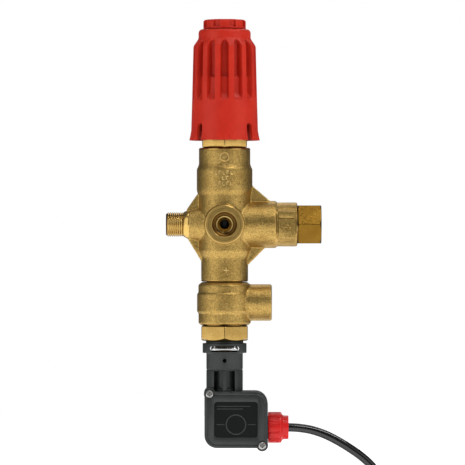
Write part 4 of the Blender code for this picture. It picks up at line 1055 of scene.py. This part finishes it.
def switch_housing():
    tube = lathe("tube", fillet(mm(
        (0, -79.6), (12.8, -79.6), (12.8, -81.1), (15, -81.1), (15, -87.6), (12.45, -87.8),
        (12.45, -98.6), (12.1, -98.8), (12.1, -99.2), (12.45, -99.4), (12.45, -114.2),
        (0, -114.2)),
        0.00025), 128)
    windows = [box_mesh("window", (left, front, -0.1134), (right, back, -0.0997))
               for front, back in ((-0.0150, -0.0022), (0.0022, 0.0150))
               for left, right in ((-0.0072, -0.00125), (0.00125, 0.0070))]
    tube = combine(tube, windows)
    core = lathe("core", mm(
        (0, -99), (8, -99), (8, -111.5), (9.3, -112), (9.3, -114.2), (0, -114.2)), 96)
    edge = 0.0009
    rounds = [(0.0, BOX_BACK - edge)] + [
        (edge * (1 - math.cos(math.radians(a))), BOX_BACK - edge + edge * math.sin(
            math.radians(a))) for a in (30, 60, 90)]
    sections = [(box_outline(0.0002), BOX_FRONT), (box_outline(0.0), BOX_FRONT + 0.0002)]
    sections += [(box_outline(inset), y) for inset, y in rounds]
    box = stepped_prism("box", sections)
    cable_axis = AXIS + Vector((0.0, 0.0, CABLE_Z))
    stub = rod(0.0080, 0.0274, 0.0369, 64, ALONG_X, cable_axis)
    skin = combine(tube, [core, box, stub], "UNION")
    cavity = prism("cavity", box_outline(0.0024, lugs=False), BOX_FRONT - 0.0010,
                   BOX_BACK - 0.0022)
    cavity = combine(cavity, [rod_along_y(x, z, 0.0034, BOX_FRONT - 0.0020, 0.0042)
                              for x, z in LUGS])
    slot = rounded_box("slot", (-0.0100, -0.0868), (0.0100, -0.0828), 0.00199, -0.0170, 0.0170,
                       10)
    bore = lathe("bore", mm(
        (0, -78), (9.8, -78), (9.8, -96.9), (6, -96.9), (6, -110), (3.3, -110), (3.3, -117),
        (0, -117)), 96)
    vent = rod_along_y(0.0, -0.0927, 0.0014, -0.0140, -0.0050)
    cable_way = rod(0.0042, 0.0250, 0.0380, 48, ALONG_X, cable_axis)
    screws = [rod_along_y(x, z, 0.0016, BOX_FRONT - 0.0010, 0.0010) for x, z in LUGS]
    skin = combine(skin, [cavity, slot, bore, vent, cable_way] + screws)
    posts = []
    for x, z in ((-0.0058, -0.1360), (0.0160, -0.1260)):
        post = rod_along_y(x, z, 0.0030, 0.0056, BOX_BACK - 0.0012)
        posts.append(combine(post, [rod_along_y(x, z, 0.0016, 0.0050, 0.0108)]))
    skin = bevelled(skin, 0.00018, 2, 40)
    piece("switch_housing_skin", joined("switch_housing_skin", [skin] + posts), BLACK, "switch",
          "black_plastic", "switch_housing")


def box_cover():
    """The lid: a rounded rim, a shallow groove round the field and a deeper label panel."""
    sections = [(box_outline(0.0), LID_BACK), (box_outline(0.0), LID_FRONT + 0.0006)]
    sections += [(box_outline(0.0006 * (1 - math.cos(math.radians(a)))),
                  LID_FRONT + 0.0006 - 0.0006 * math.sin(math.radians(a))) for a in (30, 60, 90)]
    lid = stepped_prism("lid", sections[::-1])
    left, right, low, high = PANEL
    groove = combine(prism("groove", box_outline(0.0021), LID_FRONT - 0.0010,
                           LID_FRONT + 0.00025),
                     [prism("field", box_outline(0.0025), LID_FRONT - 0.0020,
                            LID_FRONT + 0.0010)])
    recess = rounded_box("recess", (left, low), (right, high), 0.0022, LID_FRONT - 0.0010,
                         LID_FRONT + 0.0006, 8)
    holes = [rod_along_y(x, z, 0.0017, LID_FRONT - 0.0010, LID_BACK + 0.0010)
             for x, z in LUGS]
    lid = combine(lid, [groove, recess] + holes)
    lid = bevelled(lid, 0.00015, 2, 40)
    centre_x = (left + right) / 2
    mark = AXIS + Vector((centre_x, 0.0, low + 0.0088))
    floor = -(LID_FRONT + 0.0006)
    ring = lathe("ring", fillet([
        (0.0070, floor - 0.0001), (0.0070, floor + 0.00045), (0.0062, floor + 0.00045),
        (0.0062, floor - 0.0001)], 0.0001), 96, ALONG_MINUS_Y, mark)
    front = -floor - 0.0004
    bars = [rounded_box("bar", (x0, z0), (x1, z0 + 0.0006), 0.00028, front, -floor + 0.0001, 4)
            for x0, x1, z0 in ((left + 0.0016, centre_x - 0.0078, low + 0.0085),
                               (centre_x + 0.0078, right - 0.0016, low + 0.0085),
                               (left + 0.0018, right - 0.0100, high - 0.0052),
                               (left + 0.0018, right - 0.0050, high - 0.0034))]
    piece("box_lid_skin", joined("box_lid_skin", [lid, ring] + bars), BLACK, "switch",
          "black_plastic", "box_lid")
    plate_area = rounded_box("label", (left + 0.0001, low + 0.0001), (right - 0.0001,
                             high - 0.0001), 0.0021, LID_FRONT + 0.00055, LID_FRONT + 0.0007, 8)
    piece("lid_label_panel", plate_area, LABEL_BLACK, "switch", "black_plastic")


def lid_screws():
    seat = -LID_FRONT + 0.0003
    for i, (x, z) in enumerate(LUGS):
        place = AXIS + Vector((x, 0.0, z))
        head = lathe("screw", fillet([
            (0.0, seat + 0.0017), (0.0021, seat + 0.0017), (0.0027, seat + 0.0007),
            (0.0027, seat), (0.0013, seat), (0.0013, 0.0005), (0.0, 0.0005)], 0.0004, 4), 64,
            ALONG_MINUS_Y, place)
        long, short = 0.0016, 0.00036
        socket = [box_mesh("slot", (x - w, -seat - 0.0030, z - h), (x + w, -seat - 0.0005, z + h))
                  for w, h in ((long, short), (short, long))]
        cone = lathe("cone", [(0.0, seat + 0.0022), (0.0018, seat + 0.0022),
                              (0.0011, seat + 0.0013), (0.0, seat + 0.0013)], 48,
                     ALONG_MINUS_Y, place)
        head = combine(head, socket + [cone])
        piece("lid_screw_head_%d" % (i + 1), head, STAINLESS, "switch", "stainless_steel",
              "lid_screw_%d" % (i + 1))


def gland_nut():
    flutes = 12

    def flute(angle, radius, height):
        if radius < 0.0096 or height > 0.0379:
            return radius
        across = (angle / (2 * math.pi / flutes)) % 1.0 - 0.5
        aside = abs(across) * 2 * math.pi / flutes * 0.0105
        end = smooth_step((0.0376 - height) / 0.0010)
        return radius - 0.0007 * smooth_step((0.0011 - aside) / 0.0006) * end

    profile = fillet(mm(
        (7.9, 43.6), (8.1, 43.2), (8.1, 40.6), (8.3, 39.8), (8.8, 39.2), (10.2, 38.6)), 0.0003)
    profile += [(0.0105, 0.0380)] + [(0.0105, 0.0378 - 0.0003 * i) for i in range(8)]
    profile += mm((10.5, 32), (10.5, 30.1), (10.3, 29.7), (8.3, 29.7), (8.3, 37.2), (7.4, 37.6),
                  (5.5, 41.2), (3.4, 41.6), (3.4, 43.6))
    skin = lathe("gland_nut_skin", profile, 288, ALONG_X, AXIS + Vector((0.0, 0.0, CABLE_Z)),
                 radial=flute)
    piece("gland_nut_skin", skin, GLAND_RED, "switch", "gland_red", "gland_nut", angle=40)


def retaining_clip():
    leg, front, back, bend, height = 0.0081, -0.0129, 0.0110, 0.0024, -0.0848
    corner = arc((leg - bend, front + bend), bend, -90, 0, 12)
    half = corner + [(leg, back)]
    route = [(-x, y) for x, y in reversed(half)] + half
    points = [AXIS + Vector((x, y, height)) for x, y in route]
    wire = tube_curve("clip_wire", points, 0.0012, ZINC, 8)
    place_piece(wire, "clip", "stainless_steel", "retaining_clip")


def cable_tie():
    """A snug strap round the coil's section, with its lock on top."""
    thick, half, inner, outer = 0.0009, 0.0018, 0.0219, 0.0412
    around = math.radians(205)
    foot, top = FLOOR_Z + thick, CABLE_FLOOR + 3.04 * CABLE_R + 0.0001
    strap = rounded_box("strap", (inner - thick, foot - thick), (outer + thick, top + thick),
                        0.0030, -half, half)
    opening = rounded_box("opening", (inner, foot), (outer, top), 0.0021, -half - 0.001,
                          half + 0.001)
    lock = box_mesh("lock", (0.0300, -0.0026, top), (0.0350, 0.0026, top + thick + 0.0024))
    mesh = joined("cable_tie_strap", [combine(strap, [opening]), bevelled(lock, 0.0005)])
    mesh.transform(Matrix.Translation(COIL_CENTRE) @ Matrix.Rotation(around, 4, "Z")
                   @ Matrix.Translation(-AXIS))
    return piece("cable_tie_strap", mesh, BLACK, "switch", "black_plastic", "cable_tie")


# ---- springs, each a fixed wire coil along its part's box, between the two parts it pushes apart ----
SPRINGS = (("main_spring", "Z", 0.0086, 0.0014, 5.5, ("valve", "spring_plate")),
           ("check_spring", "X", 0.0060, 0.0006, 4.5, ("check", "valve")),
           ("switch_spring", "Z", 0.0042, 0.00045, 4.5, ("switch", "plunger")))


def coil_spring(name, axis, radius, wire, turns, bodies):
    low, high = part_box(name)
    index = "XYZ".index(axis)
    turn = ALONG_X if axis == "X" else ALONG_Z
    first, last = low[index] - AXIS[index] + wire, high[index] - AXIS[index] - wire
    points, count = [], int(turns * 24)
    for i in range(count + 1):
        t = i / count
        rise = t - math.sin(2 * math.pi * t) / (2 * math.pi * turns)
        angle = 2 * math.pi * turns * t
        points.append(AXIS + turn @ Vector((radius * math.cos(angle), radius * math.sin(angle),
                                            first + (last - first) * rise)))
    item = link(name + "_wire", bead(points, wire, 3), SPRING, 60)
    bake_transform(item)
    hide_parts(name)


valve_body()
bonnet()
adjusting_knob()
knob_cap()
outlet_fitting()
bypass_banjo()
banjo_screw()
switch_housing()
box_cover()
lid_screws()
gland_nut()
retaining_clip()
make_cable(cable_tie())
for spring in SPRINGS:
    coil_spring(*spring)

for name, item in frame["nodes"].items():
    slot_name = next(s["material_slot"] for s in frame["record"]["subparts"]
                     if s["node"] == name)
    item.data.materials.clear()
    # Stainless parts inside get the near-black steel: painted shade down the bores.
    inner = slot_name == "stainless_steel"
    item.data.materials.append(SHADE_STEEL if inner else SLOT_FINISH[slot_name])
